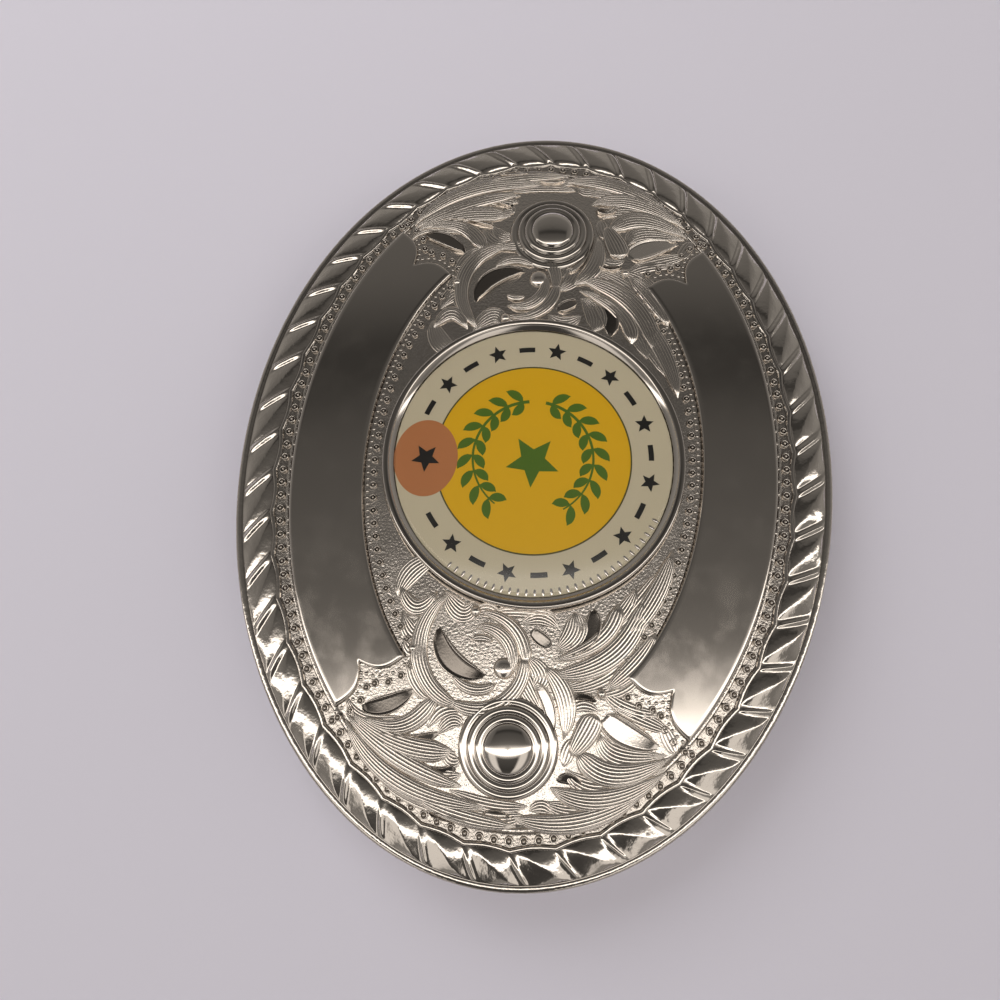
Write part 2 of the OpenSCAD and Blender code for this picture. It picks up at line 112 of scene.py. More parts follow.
# Smooth hollow leaves. Columns: the same, then how dark the painted shade in the hollow is, from 0 to 1
LEAVES = [
    (21.5, -9.6, 25.7, -7.7, 27.1, -3.0, 0.5, 2.9, 0.6, 0.85),
    (17.9, 8.7, 21.2, 8.4, 24.0, 5.6, 1.0, 2.5, 0.4, 0.8),
    (21.2, 1.5, 22.2, 2.8, 22.9, 4.2, 0.8, 1.8, 0.8, 0.7),
    (31.9, -18.0, 31.5, -14.8, 29.3, -11.6, 0.6, 2.4, 0.5, 0.8),
    (34.4, -16.4, 35.5, -12.4, 33.8, -7.8, 0.4, 1.7, 0.5, 0.4),
    (30.2, 10.8, 32.1, 13.4, 33.3, 17.8, 1.8, 3.4, 0.6, 0.0),
    (27.2, 2.3, 29.6, 4.2, 33.2, 5.0, 0.8, 1.6, 0.5, 0.2),
    (38.1, 5.8, 37.7, 7.3, 38.4, 9.0, 0.4, 1.3, 0.3, 0.8),
    (37.9, -8.9, 38.3, -7.3, 37.5, -5.8, 0.3, 1.1, 0.8, 0.8),
    (28.8, 6.6, 28.4, 8.3, 28.9, 10.0, 0.3, 0.9, 0.3, 0.8),
    (43.0, -2.7, 42.2, -1.0, 42.8, 1.4, 0.3, 0.8, 0.3, 0.7),
    (43.0, -8.5, 43.3, -6.4, 43.6, -3.6, 0.3, 0.8, 0.3, 0.7),
]
# The round scroll's rings of locks about its eye. Columns: start and end angle, start and end
# radius, width at the start, middle and end
SCROLL_EYE = (25.3, -4.2)
SCROLL_RINGS = [
    (-150, -20, 8.8, 5.8, 1.2, 2.2, 1.6),
    (-34, 104, 5.9, 5.2, 1.5, 2.0, 1.4),
    (88, 186, 5.4, 5.6, 1.4, 1.7, 0.7),
    (70, 196, 3.9, 3.9, 0.7, 1.8, 0.6),
    (-60, 40, 3.7, 3.3, 0.5, 1.5, 0.7),
    (150, 210, 2.6, 2.6, 0.4, 1.0, 0.4),
]
# Cross-section of one cut line: place across the cut, height between the groove (0) and the land (1)
CUT_PLACES = [0.0, 0.1, 0.2, 0.5, 0.8, 0.9]
CUT_HEIGHTS = [0.0, 0.55, 1.0, 1.06, 1.0, 0.55]
# Round knobs at the roots of the locks. Columns: x, y, radius
KNOBS = [(26.0, -1.3, 1.3), (24.6, -12.4, 0.6), (27.8, 10.4, 0.6), (19.6, -5.3, 0.7)]
# The scrollwork's kinds: points along each, how much wider than its row says, height
FILLER_STEPS, FILLER_WIDEN, FILLER_RISE = 18, 2.0, 0.12
LOCK_STEPS, LOCK_WIDEN, LOCK_RISE = 28, 1.45, 0.36
RING_STEPS, RING_RISE = 40, 0.4
LEAF_STEPS, LEAF_RISE = 26, 0.45
KNOB_RISE = 0.6
# Where a lobe's crest lies between its two ribs, at its outer and at its inner end
CREST_OUT, CREST_IN = 0.85, 0.15
# Heights of the rope's outer and inner foot against the face's curve, and of the arch between them
FOOT_OUT, FOOT_IN, ARCH = -0.52, -0.02, 0.1
# How far the lobes' inner ends roll down: gently by the strap loop, sharply at the prong's end
LOW_ROLL, FAR_ROLL = 0.22, 0.25
# Cross-section of the plain rim. Columns: distance in from the edge, height, how dark the painted shade is
RIM_PROFILE = [
    (0.0, -1.62, 0.0), (0.0, -0.74, 0.0), (0.04, -0.65, 0.0), (0.12, -0.57, 0.0), (0.24, -0.51, 0.0),
    (0.38, -0.475, 0.0), (0.52, -0.465, 0.0), (0.66, -0.48, 0.0), (0.78, -0.52, 0.2), (0.88, -0.56, 0.5),
]
# The raised line inside the rope, down to the channel. Columns: distance in from the lobes, height
# above the rope's foot, how dark the painted shade is
SCALLOP_PROFILE = [
    (0.05, 0.01, 0.1), (0.12, 0.03, 0.0), (0.26, 0.04, 0.0), (0.4, 0.02, 0.0), (0.48, -0.03, 0.0),
]
# The drop into the channel. Columns: distance in from the lobes, height above its floor, how dark the
# painted shade is
CHANNEL_DROP = [(0.56, 0.03, 0.2), (0.6, 0.0, 0.4), (0.68, 0.0, 0.3)]
# The channel's floor. Columns: distance in from the plate's edge, height above its floor, how dark the
# painted shade is
CHANNEL_FLOOR = [(4.9, -0.02, 0.4), (5.4, 0.0, 0.35), (6.3, 0.0, 0.35), (6.5, 0.0, 0.4), (6.56, 0.03, 0.3)]
# The ridge and the groove round the field. Columns: distance in from the edge, height against the face's
# curve, how dark the painted shade is
FIELD_EDGE = [
    (6.68, 0.05, 0.1), (6.74, 0.08, 0.0), (7.04, 0.08, 0.0), (7.1, 0.04, 0.2), (7.14, -0.06, 0.7),
    (7.24, -0.06, 0.7), (7.3, 0.0, 0.3),
]
# The channel's line of beads: its distance in from the edge, and how far along the first bead sits
BEAD_LINE, BEAD_START = 5.78, 0.98
# The ribbons' beads are a little smaller. What the beads' heights add to the stated rise
RIBBON_BEAD_SHARE = 0.93
CHANNEL_BEAD_EXTRA, RIBBON_BEAD_EXTRA, DOT_HEIGHT = 0.1, 0.08, 0.15
# Rows round a ribbon. Each: distance outside the ribbon's edge, distance from one to the next
RIBBON_BEAD_ROW = (1.1, 1.66)
RIBBON_DOT_ROW = (0.32, 0.83)
# Half widths of the oval that these rows stay inside
ROW_LIMIT = (44.6, 31.6)
# The dots beside the channel: the scale from the line of beads, and how far from the middle they go
BESIDE_SCALE, BESIDE_REACH = (43.95 / 45.07, 30.95 / 31.97), 16
# Cross-section of a boss. Columns: share of the radius, height above the field
BOSS_PROFILE = [
    (1.02, -0.3), (1.0, 0.12), (0.975, 0.34), (0.93, 0.46), (0.885, 0.44), (0.845, 0.34), (0.83, 0.36),
    (0.815, 0.62), (0.79, 0.82), (0.745, 0.9), (0.705, 0.86), (0.675, 0.76), (0.662, 0.78), (0.648, 1.0),
    (0.62, 1.16), (0.575, 1.22), (0.53, 1.16), (0.505, 1.06), (0.49, 1.1), (0.476, 1.3), (0.44, 1.44),
    (0.36, 1.64), (0.27, 1.79), (0.18, 1.88), (0.09, 1.93), (0.0, 1.945),
]
# Painted shade on each row of the boss's profile, darkest in the creases between its rings
BOSS_DARK = [
    0.7, 0.3, 0.1, 0, 0, 0.2, 0.6, 0.2, 0, 0, 0, 0.2, 0.6, 0.2, 0, 0, 0, 0.2, 0.6, 0.1, 0, 0, 0, 0, 0, 0,
]
# Cross-section of a ring bead and its centre dot. Columns: share of the radius, share of the height
BEAD_PROFILE = [
    (1.0, -0.4), (0.98, 0.3), (0.88, 0.72), (0.74, 0.8), (0.6, 0.62), (0.5, 0.3), (0.42, 0.28),
    (0.36, 0.62), (0.24, 0.92), (0.1, 1.0), (0.0, 1.0),
]
# Painted shade on each row of the bead's profile, darkest at its foot and in the hollow round its dot
BEAD_DARK = [0.8, 0.4, 0.0, 0.0, 0.3, 0.8, 0.8, 0.4, 0.0, 0.0, 0.0]
DOT_PROFILE = [(1.0, -0.3), (0.95, 0.35), (0.7, 0.75), (0.35, 0.97), (0.0, 1.0)]
# Cross-section of the collar above its foot. Columns: radius from the axis, height from the seat
COLLAR_PROFILE = [
    (19.0, 0.0), (19.0, 1.86), (18.98, 1.96), (18.92, 2.05), (18.82, 2.12), (18.72, 2.14), (18.6, 2.14),
    (18.48, 2.115), (18.34, 2.06), (18.2, 2.0), (18.15, 1.93), (18.1, 1.84), (17.66, 1.6), (17.62, 1.56),
]
# Painted shade on each row of the collar's profile, darkest on the inner slope of its top and at its inner
# foot
COLLAR_DARK = [0, 0, 0.1, 0, 0, 0.1, 0.3, 0.4, 0.3, 0.1, 0, 0, 0.2, 0.2]
# The collar's foot and the ledge under the print
COLLAR_FOOT = [(17.6, 0.7), (16.4, 0.7), (16.4, 0.0), (19.0, 0.0)]
# The milled band in the collar. Columns: radius, height from the seat, depth of the teeth
BAND_PROFILE = [
    (17.62, 1.54, 0.0), (17.6, 1.5, 0.0), (17.6, 1.38, 0.12), (17.6, 0.95, 0.12), (17.6, 0.7, 0.0),
]
BAND_TEETH = 78
# Milled strokes that show through the dome's edge: first angle, last angle and step, in degrees
MILL_ARC = (-32, 68, 3.4)
# One stroke from its outer to its inner end. Columns: radius, half width, height above the print
MILL_STROKE = [
    (17.4, 0.04, 0.03), (17.32, 0.16, 0.05), (17.0, 0.2, 0.085), (16.64, 0.15, 0.12), (16.54, 0.04, 0.06),
]
# The print: radii of the yellow middle, of its dark outline, of the sprigs and of the ring of marks
MIDDLE_RADIUS = 12.33
OUTLINE_RADII = (12.45, 12.25)
SPRIG_RADIUS = 7.6
MARK_RADIUS = 14.85
ACCENT_PLACE = (1.1, -13.5)
# Height of the dome's upright edge, and how the curve steepens towards it
DOME_EDGE, DOME_POWER = 0.15, 3
# The ribbon's brace-shaped end, on the side of +X and +Y
BRACE_CORNER = (26.4, 13.4)
BRACE_NOTCH = (27.3, 18.8)
BRACE_TIP = (32.5, 21.0)
# Half widths of the ribbon's inner oval, and what its outer oval adds to them
RIBBON_INNER = (32.5, 21.2)
RIBBON_ADDS = (11.62, 9.85)
# Distance in from the ribbon's edge, and how far below the ribbon's face
RIBBON_EDGE = [
    (0.0, -0.8), (0.02, -0.55), (0.17, -0.54), (0.2, -0.25), (0.27, -0.13), (0.4, -0.05), (0.6, 0.0),
    (0.9, 0.0),
]
# The ribbon's length along its middle
RIBBON_RUN = 74
# The room's light along the strap. Columns: degrees from straight up towards the strap loop, strength
ROOM_ALONG = [
    (-90, 0.3), (-66, 0.2), (-50, 0.17), (-38, 0.13), (-31, 0.05), (-27, 0.055), (-21, 0.1),
    (-10, 0.125), (-3, 0.15), (3, 0.21), (6, 0.45), (9, 1.1), (12, 3.0), (20, 3.0), (24, 0.6),
    (28, 0.1), (55, 0.06), (70, 0.08), (90, 0.25),
]
# The same across the strap, as shares of 90 degrees to either side: the walls, then the two windows
ROOM_FLANK = [(0.0, 0.0), (0.32, 0.0), (0.44, 0.17), (0.62, 0.22), (1.0, 0.42)]
ROOM_WINDOWS = [(0.0, 0.0), (0.22, 0.0), (0.3, 1.0), (0.5, 1.0), (0.6, 0.15), (1.0, 0.1)]
# Where along the strap the windows reach, and the height at which the pale horizon ends
WINDOW_REACH = [(0.55, 0.0), (0.62, 1.0), (0.82, 1.0), (0.95, 0.3)]
HORIZON_FADE = [(0.16, 0.0), (0.36, 1.0)]
HORIZON_GREY = (0.32, 0.32, 0.32, 1)
# The camera, matched to the photo: focal length in mm, its right and up, its place in metres
LENS = 25.51
CAMERA_RIGHT = (-0.09309, 0.99530, -0.02655)
CAMERA_UP = (-0.96564, -0.08375, 0.24602)
CAMERA_PLACE = (0.027150, 0.000647, 0.098569)


def linear(code):
    """A colour such as #D2CBC3, written in sRGB, as linear RGBA."""
    parts = [int(code[i : i + 2], 16) / 255 for i in (1, 3, 5)]
    return [c / 12.92 if c <= 0.04045 else ((c + 0.055) / 1.055) ** 2.4 for c in parts] + [1.0]


def length(name, description, default):
    return FloatProperty(
        name=name, description=description, default=default, unit="LENGTH", subtype="DISTANCE"
    )


def colour(name, description, code):
    return FloatVectorProperty(
        name=name, description=description, default=linear(code)[:3], size=3, subtype="COLOR"
    )


class BuckleSizes(bpy.types.PropertyGroup):
    """Sizes that the pieces are built from."""

    plate_length: length("Plate length", "Length of the oval along the strap", 0.1016)
    plate_height: length("Plate height", "Height of the oval across the strap", 0.0762)
    plate_thickness: length("Plate thickness", "Metal behind the field", 0.0022)
    datum: length("Datum", "Height of the face's curve at the plate's ends", 0.0091)
    length_bend: length("Bend", "Rise of the middle above the two ends", 0.0025)
    cross_crown: length("Crown", "Rise of the middle above the two long sides", 0.001)
    rim_width: length("Rim width", "Plain rim outside the rope", 0.00095)
    rope_width: length("Rope width", "Rope from the rim to the bead channel", 0.0034)
    rope_drift: length("Rope drift", "Further in for the rope away from the strap loop", 0.00035)
    rope_slant: length("Rope slant", "How far a lobe's outer end runs ahead", 0.0031)
    slant_loss: length("Slant loss", "How much less the lobes run ahead near the strap loop", 0.0013)
    rope_start: length("Rope start", "First rib's distance round the edge", 0.00125)
    lobe_rise: length("Lobe rise", "Height of a lobe between its two ribs", 0.0002)
    rib_rise: length("Rib rise", "Height of the slanted ribs between the lobes", 0.00023)
    scallop: length("Scallop", "Bulge of a lobe's inner end", 0.0004)
    rib_width: length("Rib width", "Width of a slanted rib at its foot", 0.0016)
    channel_depth: length("Channel depth", "Depth of the bead channel", 0.00025)
    bead_width: length("Bead width", "Diameter of a ring bead", 0.00108)
    bead_rise: length("Bead rise", "Height of a ring bead", 0.0004)
    dot_width: length("Dot width", "Diameter of a small dot", 0.0005)
    ribbon_rise: length("Ribbon rise", "Height of the ribbons above the field", 0.00055)
    cut_pitch: length("Cut pitch", "Distance between two cut lines", 0.0004)
    boss_radius: length("Boss radius", "Radius of a boss at its foot", 0.00585)
    boss_at_loop: length("Boss at loop", "Distance of that boss from the middle", 0.0349)
    boss_at_prong: length("Boss at prong", "Distance of that boss from the middle", 0.0333)
    collar_radius: length("Collar radius", "Outer radius of the collar", 0.019)
    disc_radius: length("Disc radius", "Radius of the printed disc", 0.0175)
    rope_lobes: IntProperty(name="Rope lobes", description="Lobes round the edge", default=46)
    ring_beads: IntProperty(name="Ring beads", description="Beads in the channel", default=142)


class BuckleColours(bpy.types.PropertyGroup):
    """Colours of the pieces and of the floor."""

    metal: colour("Metal", "Polished nickel plating", "#CFC8C0")
    # A lighter copy of the plating that paints in a brighter sheen on the field and the scrollwork
    sheen_painted_metal: colour("Cut metal", "Brighter metal of the cut lines", "#E6DED5")
    # Painted shade: the colour the plating darkens to in cut lines, grooves, creases and corners
    painted_shade: colour("Recess", "Dark in the cut lines and corners", "#4A443E")
    border: colour("Border", "White ring of the print", "#C2B79C")
    field: colour("Field", "Yellow middle of the print", "#D8A810")
    outline: colour("Outline", "Thin dark line of the print", "#4E4A22")
    motif: colour("Motif", "Green leaves of the print", "#4C6A1A")
    accent: colour("Accent", "Orange disc of the print", "#B07246")
    marks: colour("Marks", "Black marks of the print", "#14120F")
    floor: colour("Floor", "Pale surface below the buckle", "#DFDCE8")


class Oval:
    """The face's curve and the positions round its edge, in millimetres."""

    def __init__(self, sizes):
        self.half_l = sizes.plate_length / MM / 2
        self.half_h = sizes.plate_height / MM / 2
        self.datum = sizes.datum / MM
        self.bend = sizes.length_bend / MM
        self.crown = sizes.cross_crown / MM
        self.rim = sizes.rim_width / MM
        self.rope = sizes.rope_width / MM
        self.drift = sizes.rope_drift / MM
        angle = np.radians(np.linspace(0, 360, 1441))
        line = self.inset(angle, self.rim + self.rope / 2)
        steps = np.hypot(*np.diff(line, axis=0).T)
        self.table = np.concatenate([[0], np.cumsum(steps)])
        self.angle = angle
        self.length = self.table[-1]

    def inset(self, angle, distance):
        nx, ny = np.cos(angle) / self.half_l, np.sin(angle) / self.half_h
        size = np.hypot(nx, ny)
        x = self.half_l * np.cos(angle) - distance * nx / size
        y = self.half_h * np.sin(angle) - distance * ny / size
        return np.stack([x, y], axis=-1)

    def turned(self, s):
        """The oval's angle at s along the rope's middle line."""
        return np.interp(np.mod(s, self.length), self.table, self.angle)

    def at(self, s, distance):
        """Point at s along the rope's middle line, at a distance square to the outline."""
        angle = self.turned(s)
        reach = np.interp(distance, [0, 4.4, 5.8, 7.0], [0, 1, 1, 0])
        return self.inset(angle, distance + self.drift * reach * np.minimum(1, 1 - np.cos(angle)))

    def height(self, x, y):
        return (
            self.datum
            + self.bend * (1 - (x / self.half_l) ** 2)
            + self.crown * (1 - (y / self.half_h) ** 2)
        )

    def lift(self, xy, rise):
        """Points of shape (..., 3) that stand a rise above the face's curve."""
        z = self.height(xy[..., 0], xy[..., 1]) + rise
        return np.concatenate([xy, np.broadcast_to(z, xy.shape[:-1])[..., None]], axis=-1)

    def normal(self, x, y):
        n = np.stack(
            [
                2 * self.bend * x / self.half_l**2,
                2 * self.crown * y / self.half_h**2,
                np.ones_like(x),
            ],
            axis=-1,
        )
        return n / np.linalg.norm(n, axis=-1, keepdims=True)


class Body:
    """Gathers grids of points, in millimetres, into one mesh in metres."""

    def __init__(self):
        # depth holds each point's painted shade, from 0 to 1
        self.points, self.quads, self.depth, self.slots = [], [], [], []
        self.count = 0

    def grid(self, points, closed=False, painted_shade=0.0, slot=0):
        """Rows run so that the way along a row, crossed with the way to the next row, faces out."""
        rows, columns = points.shape[:2]
        index = np.arange(rows * columns).reshape(rows, columns) + self.count
        if closed:
            index = np.concatenate([index, index[:, :1]], axis=1)
        quads = np.stack([index[:-1, :-1], index[:-1, 1:], index[1:, 1:], index[1:, :-1]], axis=-1)
        quads = quads.reshape(-1, 4)
        self.points.append(points.reshape(-1, 3))
        self.quads.append(quads)
        self.depth.append(np.broadcast_to(painted_shade, (rows, columns)).reshape(-1))
        self.slots.append(np.full(len(quads), slot))
        self.count += rows * columns

    def turn(self, profile, centre, axis=(0, 0, 1), columns=96, painted_shade=0.0, slot=0):
        """A profile of radius and height, turned about an axis; rows run from outside to inside."""
        axis = np.array(axis, float) / np.linalg.norm(axis)
        side = np.cross([0, 1, 0], axis)
        side = side / np.linalg.norm(side)
        other = np.cross(axis, side)
        angle = np.linspace(0, 2 * np.pi, columns, endpoint=False)
        ring = np.cos(angle)[:, None] * side + np.sin(angle)[:, None] * other
        points = [np.array(centre) + r * ring + h * axis for r, h in profile]
        if np.ndim(painted_shade) == 1:
            painted_shade = np.array(painted_shade)[:, None]
        self.grid(np.array(points), closed=True, painted_shade=painted_shade, slot=slot)

    def build(self, name, materials, smooth=True, mirror=False):
        points = np.concatenate(self.points)
        quads = np.concatenate(self.quads)
        depth = np.concatenate(self.depth)
        slots = np.concatenate(self.slots)
        if mirror:
            quads = np.concatenate([quads, quads[:, ::-1] + len(points)])
            points = np.concatenate([points, points * [-1, 1, 1]])
            depth = np.concatenate([depth, depth])
            slots = np.concatenate([slots, slots])
        mesh = bpy.data.meshes.new(name)
        mesh.vertices.add(len(points))
        mesh.vertices.foreach_set("co", (points * MM).astype(np.float32).ravel())
        mesh.loops.add(quads.size)
        mesh.loops.foreach_set("vertex_index", quads.astype(np.int32).ravel())
        mesh.polygons.add(len(quads))
        mesh.polygons.foreach_set("loop_start", np.arange(0, quads.size, 4, dtype=np.int32))
        mesh.polygons.foreach_set("material_index", slots.astype(np.int32))
        mesh.polygons.foreach_set("use_smooth", np.full(len(quads), smooth))
        # Each point's painted shade, which the plating's material reads
        attribute = mesh.attributes.new("painted_shade", "FLOAT", "POINT")
        attribute.data.foreach_set("value", depth.astype(np.float32))
        mesh.update(calc_edges=True)
        mesh.validate()
        for material in materials:
            mesh.materials.append(material)
        piece = bpy.data.objects.new(name, mesh)
        bpy.context.scene.collection.objects.link(piece)
        return piece


def hand_over(piece, slot, *nodes):
    """The piece rides with the buckle and stands for the CAD nodes named."""
    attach(piece, "root")
    if nodes:
        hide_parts(*nodes)
    return piece


def step(x):
    """0 to 1 with level ends."""
    x = np.clip(x, 0, 1)
    return x * x * (3 - 2 * x)


def spread(count):
    """Values from 0 to 1 that crowd towards both ends."""
    return (1 - np.cos(np.pi * np.arange(count + 1) / count)) / 2


def add_node(tree, kind, place=(0, 0), **inputs):
    """Adds a shader or geometry node; inputs are values, or sockets that are linked."""
    node = tree.nodes.new(kind)
    node.location = place
    for name, value in inputs.items():
        socket = node.inputs[int(name[1:])] if name[0] == "i" and name[1:].isdigit() else node.inputs[name]
        if isinstance(value, bpy.types.NodeSocket):
            tree.links.new(value, socket)
        else:
            socket.default_value = value
    return node


def new_material(name):
    material = bpy.data.materials.get(name)
    if material:
        return material, None, None
    material = bpy.data.materials.new(name)
    material.use_nodes = True
    tree = material.node_tree
    return material, tree, tree.nodes["Principled BSDF"]


def ramp(tree, factor, stops, place=(0, 0)):
    """A colour ramp; stops are pairs of position and value or colour."""
    node = add_node(tree, "ShaderNodeValToRGB", place, Fac=factor)
    elements = node.color_ramp.elements
    while len(elements) < len(stops):
        elements.new(0.5)
    for element, (position, value) in zip(elements, stops):
        element.position = position
        element.color = value if hasattr(value, "__len__") else (value, value, value, 1)
    return node.outputs["Color"]


def plated_metal(name, colours, roughness=0.1, grain=0.0, grain_size=0.4, cloud=0.0, tone="metal"):
    """Polished plating, with painted shade that darkens it in the recesses. grain is the bump's depth in
    metres, cloud dulls the end with the strap loop, and tone names the metal's colour: the plain metal, or
    its lighter copy with painted sheen."""
    material, tree, shader = new_material(name)
    if tree is None:
        return material
    shader.inputs["Metallic"].default_value = 1.0
    place = add_node(tree, "ShaderNodeTexCoord", (-1100, 0)).outputs["Object"]
    painted_shade = add_node(tree, "ShaderNodeAttribute", (-900, 300))
    painted_shade.attribute_name = "painted_shade"
    # Painted shade: the metal blends towards the painted shade colour as the attribute says
    mix = add_node(tree, "ShaderNodeMix", (-300, 300))
    mix.data_type = "RGBA"
    tree.links.new(painted_shade.outputs["Fac"], mix.inputs[0])
    mix.inputs[6].default_value = (*getattr(colours, tone), 1)
    mix.inputs[7].default_value = (*colours.painted_shade, 1)
    tree.links.new(mix.outputs[2], shader.inputs["Base Color"])
    blotch = add_node(tree, "ShaderNodeTexNoise", (-900, 0), Vector=place, Scale=260.0, Detail=4.0)
    spots = ramp(tree, blotch.outputs["Fac"], [(0.42, roughness), (0.72, roughness + 0.08)], (-600, 0))
    if cloud:
        part = add_node(tree, "ShaderNodeSeparateXYZ", (-900, 150), Vector=place).outputs
        mask = add_node(tree, "ShaderNodeMapRange", (-750, 150), Value=part["X"])
        mask.inputs["From Min"].default_value = 10 * MM
        mask.inputs["From Max"].default_value = 20 * MM
        dull = ramp(tree, blotch.outputs["Fac"], [(0.45, roughness), (0.6, roughness + cloud)], (-600, 150))
        blend = add_node(tree, "ShaderNodeMix", (-400, 100), i0=mask.outputs[0])
        blend.data_type = "RGBA"
        tree.links.new(spots, blend.inputs[6])
        tree.links.new(dull, blend.inputs[7])
        spots = blend.outputs[2]
    tree.links.new(spots, shader.inputs["Roughness"])
    if grain:
        fine = add_node(
            tree, "ShaderNodeTexNoise", (-900, -300), Vector=place, Scale=1 / (grain_size * MM), Detail=2.0
        )
        bump = add_node(tree, "ShaderNodeBump", (-300, -300), Height=fine.outputs["Fac"], Distance=grain)
        tree.links.new(bump.outputs["Normal"], shader.inputs["Normal"])
    return material


def paint(name, code, roughness=0.45):
    material, tree, shader = new_material(name)
    if tree is None:
        return material
    shader.inputs["Base Color"].default_value = (*code, 1)
    shader.inputs["Roughness"].default_value = roughness
    return material


def settings(context):
    return context.scene.buckle_sizes, context.scene.buckle_colours


class BuildRopeEdge(bpy.types.Operator):
    """Builds the plain rim, the slanted rope lobes and the scalloped foot inside them"""

    bl_idname = "buckle.rope_edge"
    bl_label = "Rope edge"

    def execute(self, context):
        sizes, colours = settings(context)
        oval = Oval(sizes)
        pitch = oval.length / sizes.rope_lobes
        rib = sizes.rib_width / MM / pitch / 2
        scallop, width = sizes.scallop / MM, oval.rope
        rows, shade = [], []

        def over_lobe(crest):
            """Places from rib to rib, and along the edge; one column follows the lobe's crest."""
            inside = np.interp(spread(22), [0, 0.5, 1], [0, crest, 1])
            flank = np.linspace(0, rib, 8)[:-1]
            p = np.concatenate([flank, rib + (1 - 2 * rib) * inside, 1 - flank[:0:-1]])
            s = (np.arange(sizes.rope_lobes)[:, None] + p) * pitch + sizes.rope_start / MM
            return np.tile(p, sizes.rope_lobes), s.ravel()

        def near_loop(s):
            return np.maximum(0, np.cos(oval.turned(s) - math.radians(25))) ** 1.5

        def row(s, distance, rise, dark=0.0, lead=0.0):
            slant = (sizes.rope_slant - sizes.slant_loss * near_loop(s)) / MM
            rows.append(oval.lift(oval.at(s + slant * lead, distance), rise))
            shade.append(np.broadcast_to(dark, s.shape))

        p, s = over_lobe(CREST_OUT)
        for distance, rise, dark in RIM_PROFILE:
            row(s, distance, rise, dark, 1)
        for v in spread(22):
            crest = CREST_OUT + (CREST_IN - CREST_OUT) * v
            p, s = over_lobe(crest)
            inside = np.clip((p - rib * 0.9) / (1 - 1.8 * rib), 0, 1)
            away = np.where(inside < crest, (crest - inside) / crest, (inside - crest) / (1 - crest))
            # how near a place is to the strap loop, and how far it lies towards +X, -X and +Y
            near, turned = near_loop(s), np.cos(oval.turned(s))
            low, far = np.maximum(0, turned), np.maximum(0, -turned)
            right = np.maximum(0, np.sin(oval.turned(s))) ** 2
            ends = (1 - abs(2 * v - 1) ** (4 - (1.8 * low if v > 0.5 else 0))) ** 0.9
            base = FOOT_OUT * (1 - v) + FOOT_IN * v + ARCH * np.sin(np.pi * v)
            base = base - LOW_ROLL * low**0.7 * max(0, 2 * v - 0.9) ** 2
            base = base - FAR_ROLL * far * max(0, 5 * v - 4) ** 2 * np.sin(np.pi * p)
            aside = np.minimum(p, 1 - p) / rib / (1 - 0.6 * near)
            raised = np.cos(np.pi / 2 * np.clip(aside, 0, 1)) ** 2 * (1 - 0.3 * near + 0.65 * far)
            lobe = sizes.lobe_rise / MM * (1 - away ** (2 - 0.8 * low)) * (1 + 0.7 * low + 0.9 * right)
            # Painted shade at the lobes' outer and inner ends, where they drop to the rim and the channel
            dark = 0.3 * (1 - step(ends / 0.3)) * np.ones(len(p))
            rise = base + (lobe + sizes.rib_rise / MM * raised) * ends
            row(s, oval.rim + (width + scallop * np.sin(np.pi * p)) * v, rise, dark, 1 - v)
        inner = oval.rim + width + scallop * np.sin(np.pi * p)
        for distance, rise, dark in SCALLOP_PROFILE:
            row(s, inner + distance, FOOT_IN + rise, dark)
        for distance, rise, dark in CHANNEL_DROP:
            row(s, inner + distance, rise - sizes.channel_depth / MM, dark)
        body = Body()
        body.grid(np.array(rows), closed=True, painted_shade=np.array(shade))
        metal = plated_metal("rope_plating", colours, 0.09, 0.00004, 0.9)
        hand_over(body.build("rope_edge", [metal]), "plated_casting", "face_plate")
        return {"FINISHED"}


class BuildField(bpy.types.Operator):
    """Builds the sunk bead channel and the stippled field round the emblem's seat"""

    bl_idname = "buckle.field"
    bl_label = "Field and bead channel"

    def execute(self, context):
        sizes, colours = settings(context)
        oval = Oval(sizes)
        columns = 720
        s = np.arange(columns) * oval.length / columns
        depth = sizes.channel_depth / MM
        rows, shade = [], []
        channel = [(distance, rise - depth, dark) for distance, rise, dark in CHANNEL_FLOOR]
        for distance, rise, dark in channel + FIELD_EDGE:
            rows.append(oval.lift(oval.at(s, distance), rise))
            shade.append(np.full(columns, dark))
        outer = oval.at(s, FIELD_EDGE[-1][0])
        seat = (sizes.collar_radius / MM + 0.14) * outer / np.linalg.norm(outer, axis=1, keepdims=True)
        # The field's ground carries a faint painted shade, and the drop at the collar's seat the full
        # painted shade
        for share in np.linspace(0, 1, 60)[1:]:
            rows.append(oval.lift(outer * (1 - share) + seat * share, 0))
            shade.append(np.full(columns, 0.08))
        rows.append(oval.lift(seat, -0.8))
        shade.append(np.full(columns, 1.0))
        body = Body()
        body.grid(np.array(rows), closed=True, painted_shade=np.array(shade))
        # The field takes the lighter copy of the metal, with its painted sheen
        metal = plated_metal("field_plating", colours, 0.2, 0.00005, 0.3, tone="sheen_painted_metal")
        hand_over(body.build("field", [metal]), "plated_casting", "face_plate")
        return {"FINISHED"}


def brace_line(steps=24):
    """The ribbon's end from its inner corner to its outer tip, in two bulges."""
    points = []
    for a, b, bulge in ((BRACE_CORNER, BRACE_NOTCH, 1.15), (BRACE_NOTCH, BRACE_TIP, 1.25)):
        a, b = np.array(a), np.array(b)
        out = np.array([b[1] - a[1], a[0] - b[0]]) / np.linalg.norm(b - a)
        t = np.linspace(0, 1, steps)[:, None]
        points.append(a + (b - a) * t + out * bulge * np.sin(np.pi * t))
    return np.concatenate([points[0], points[1][1:]])


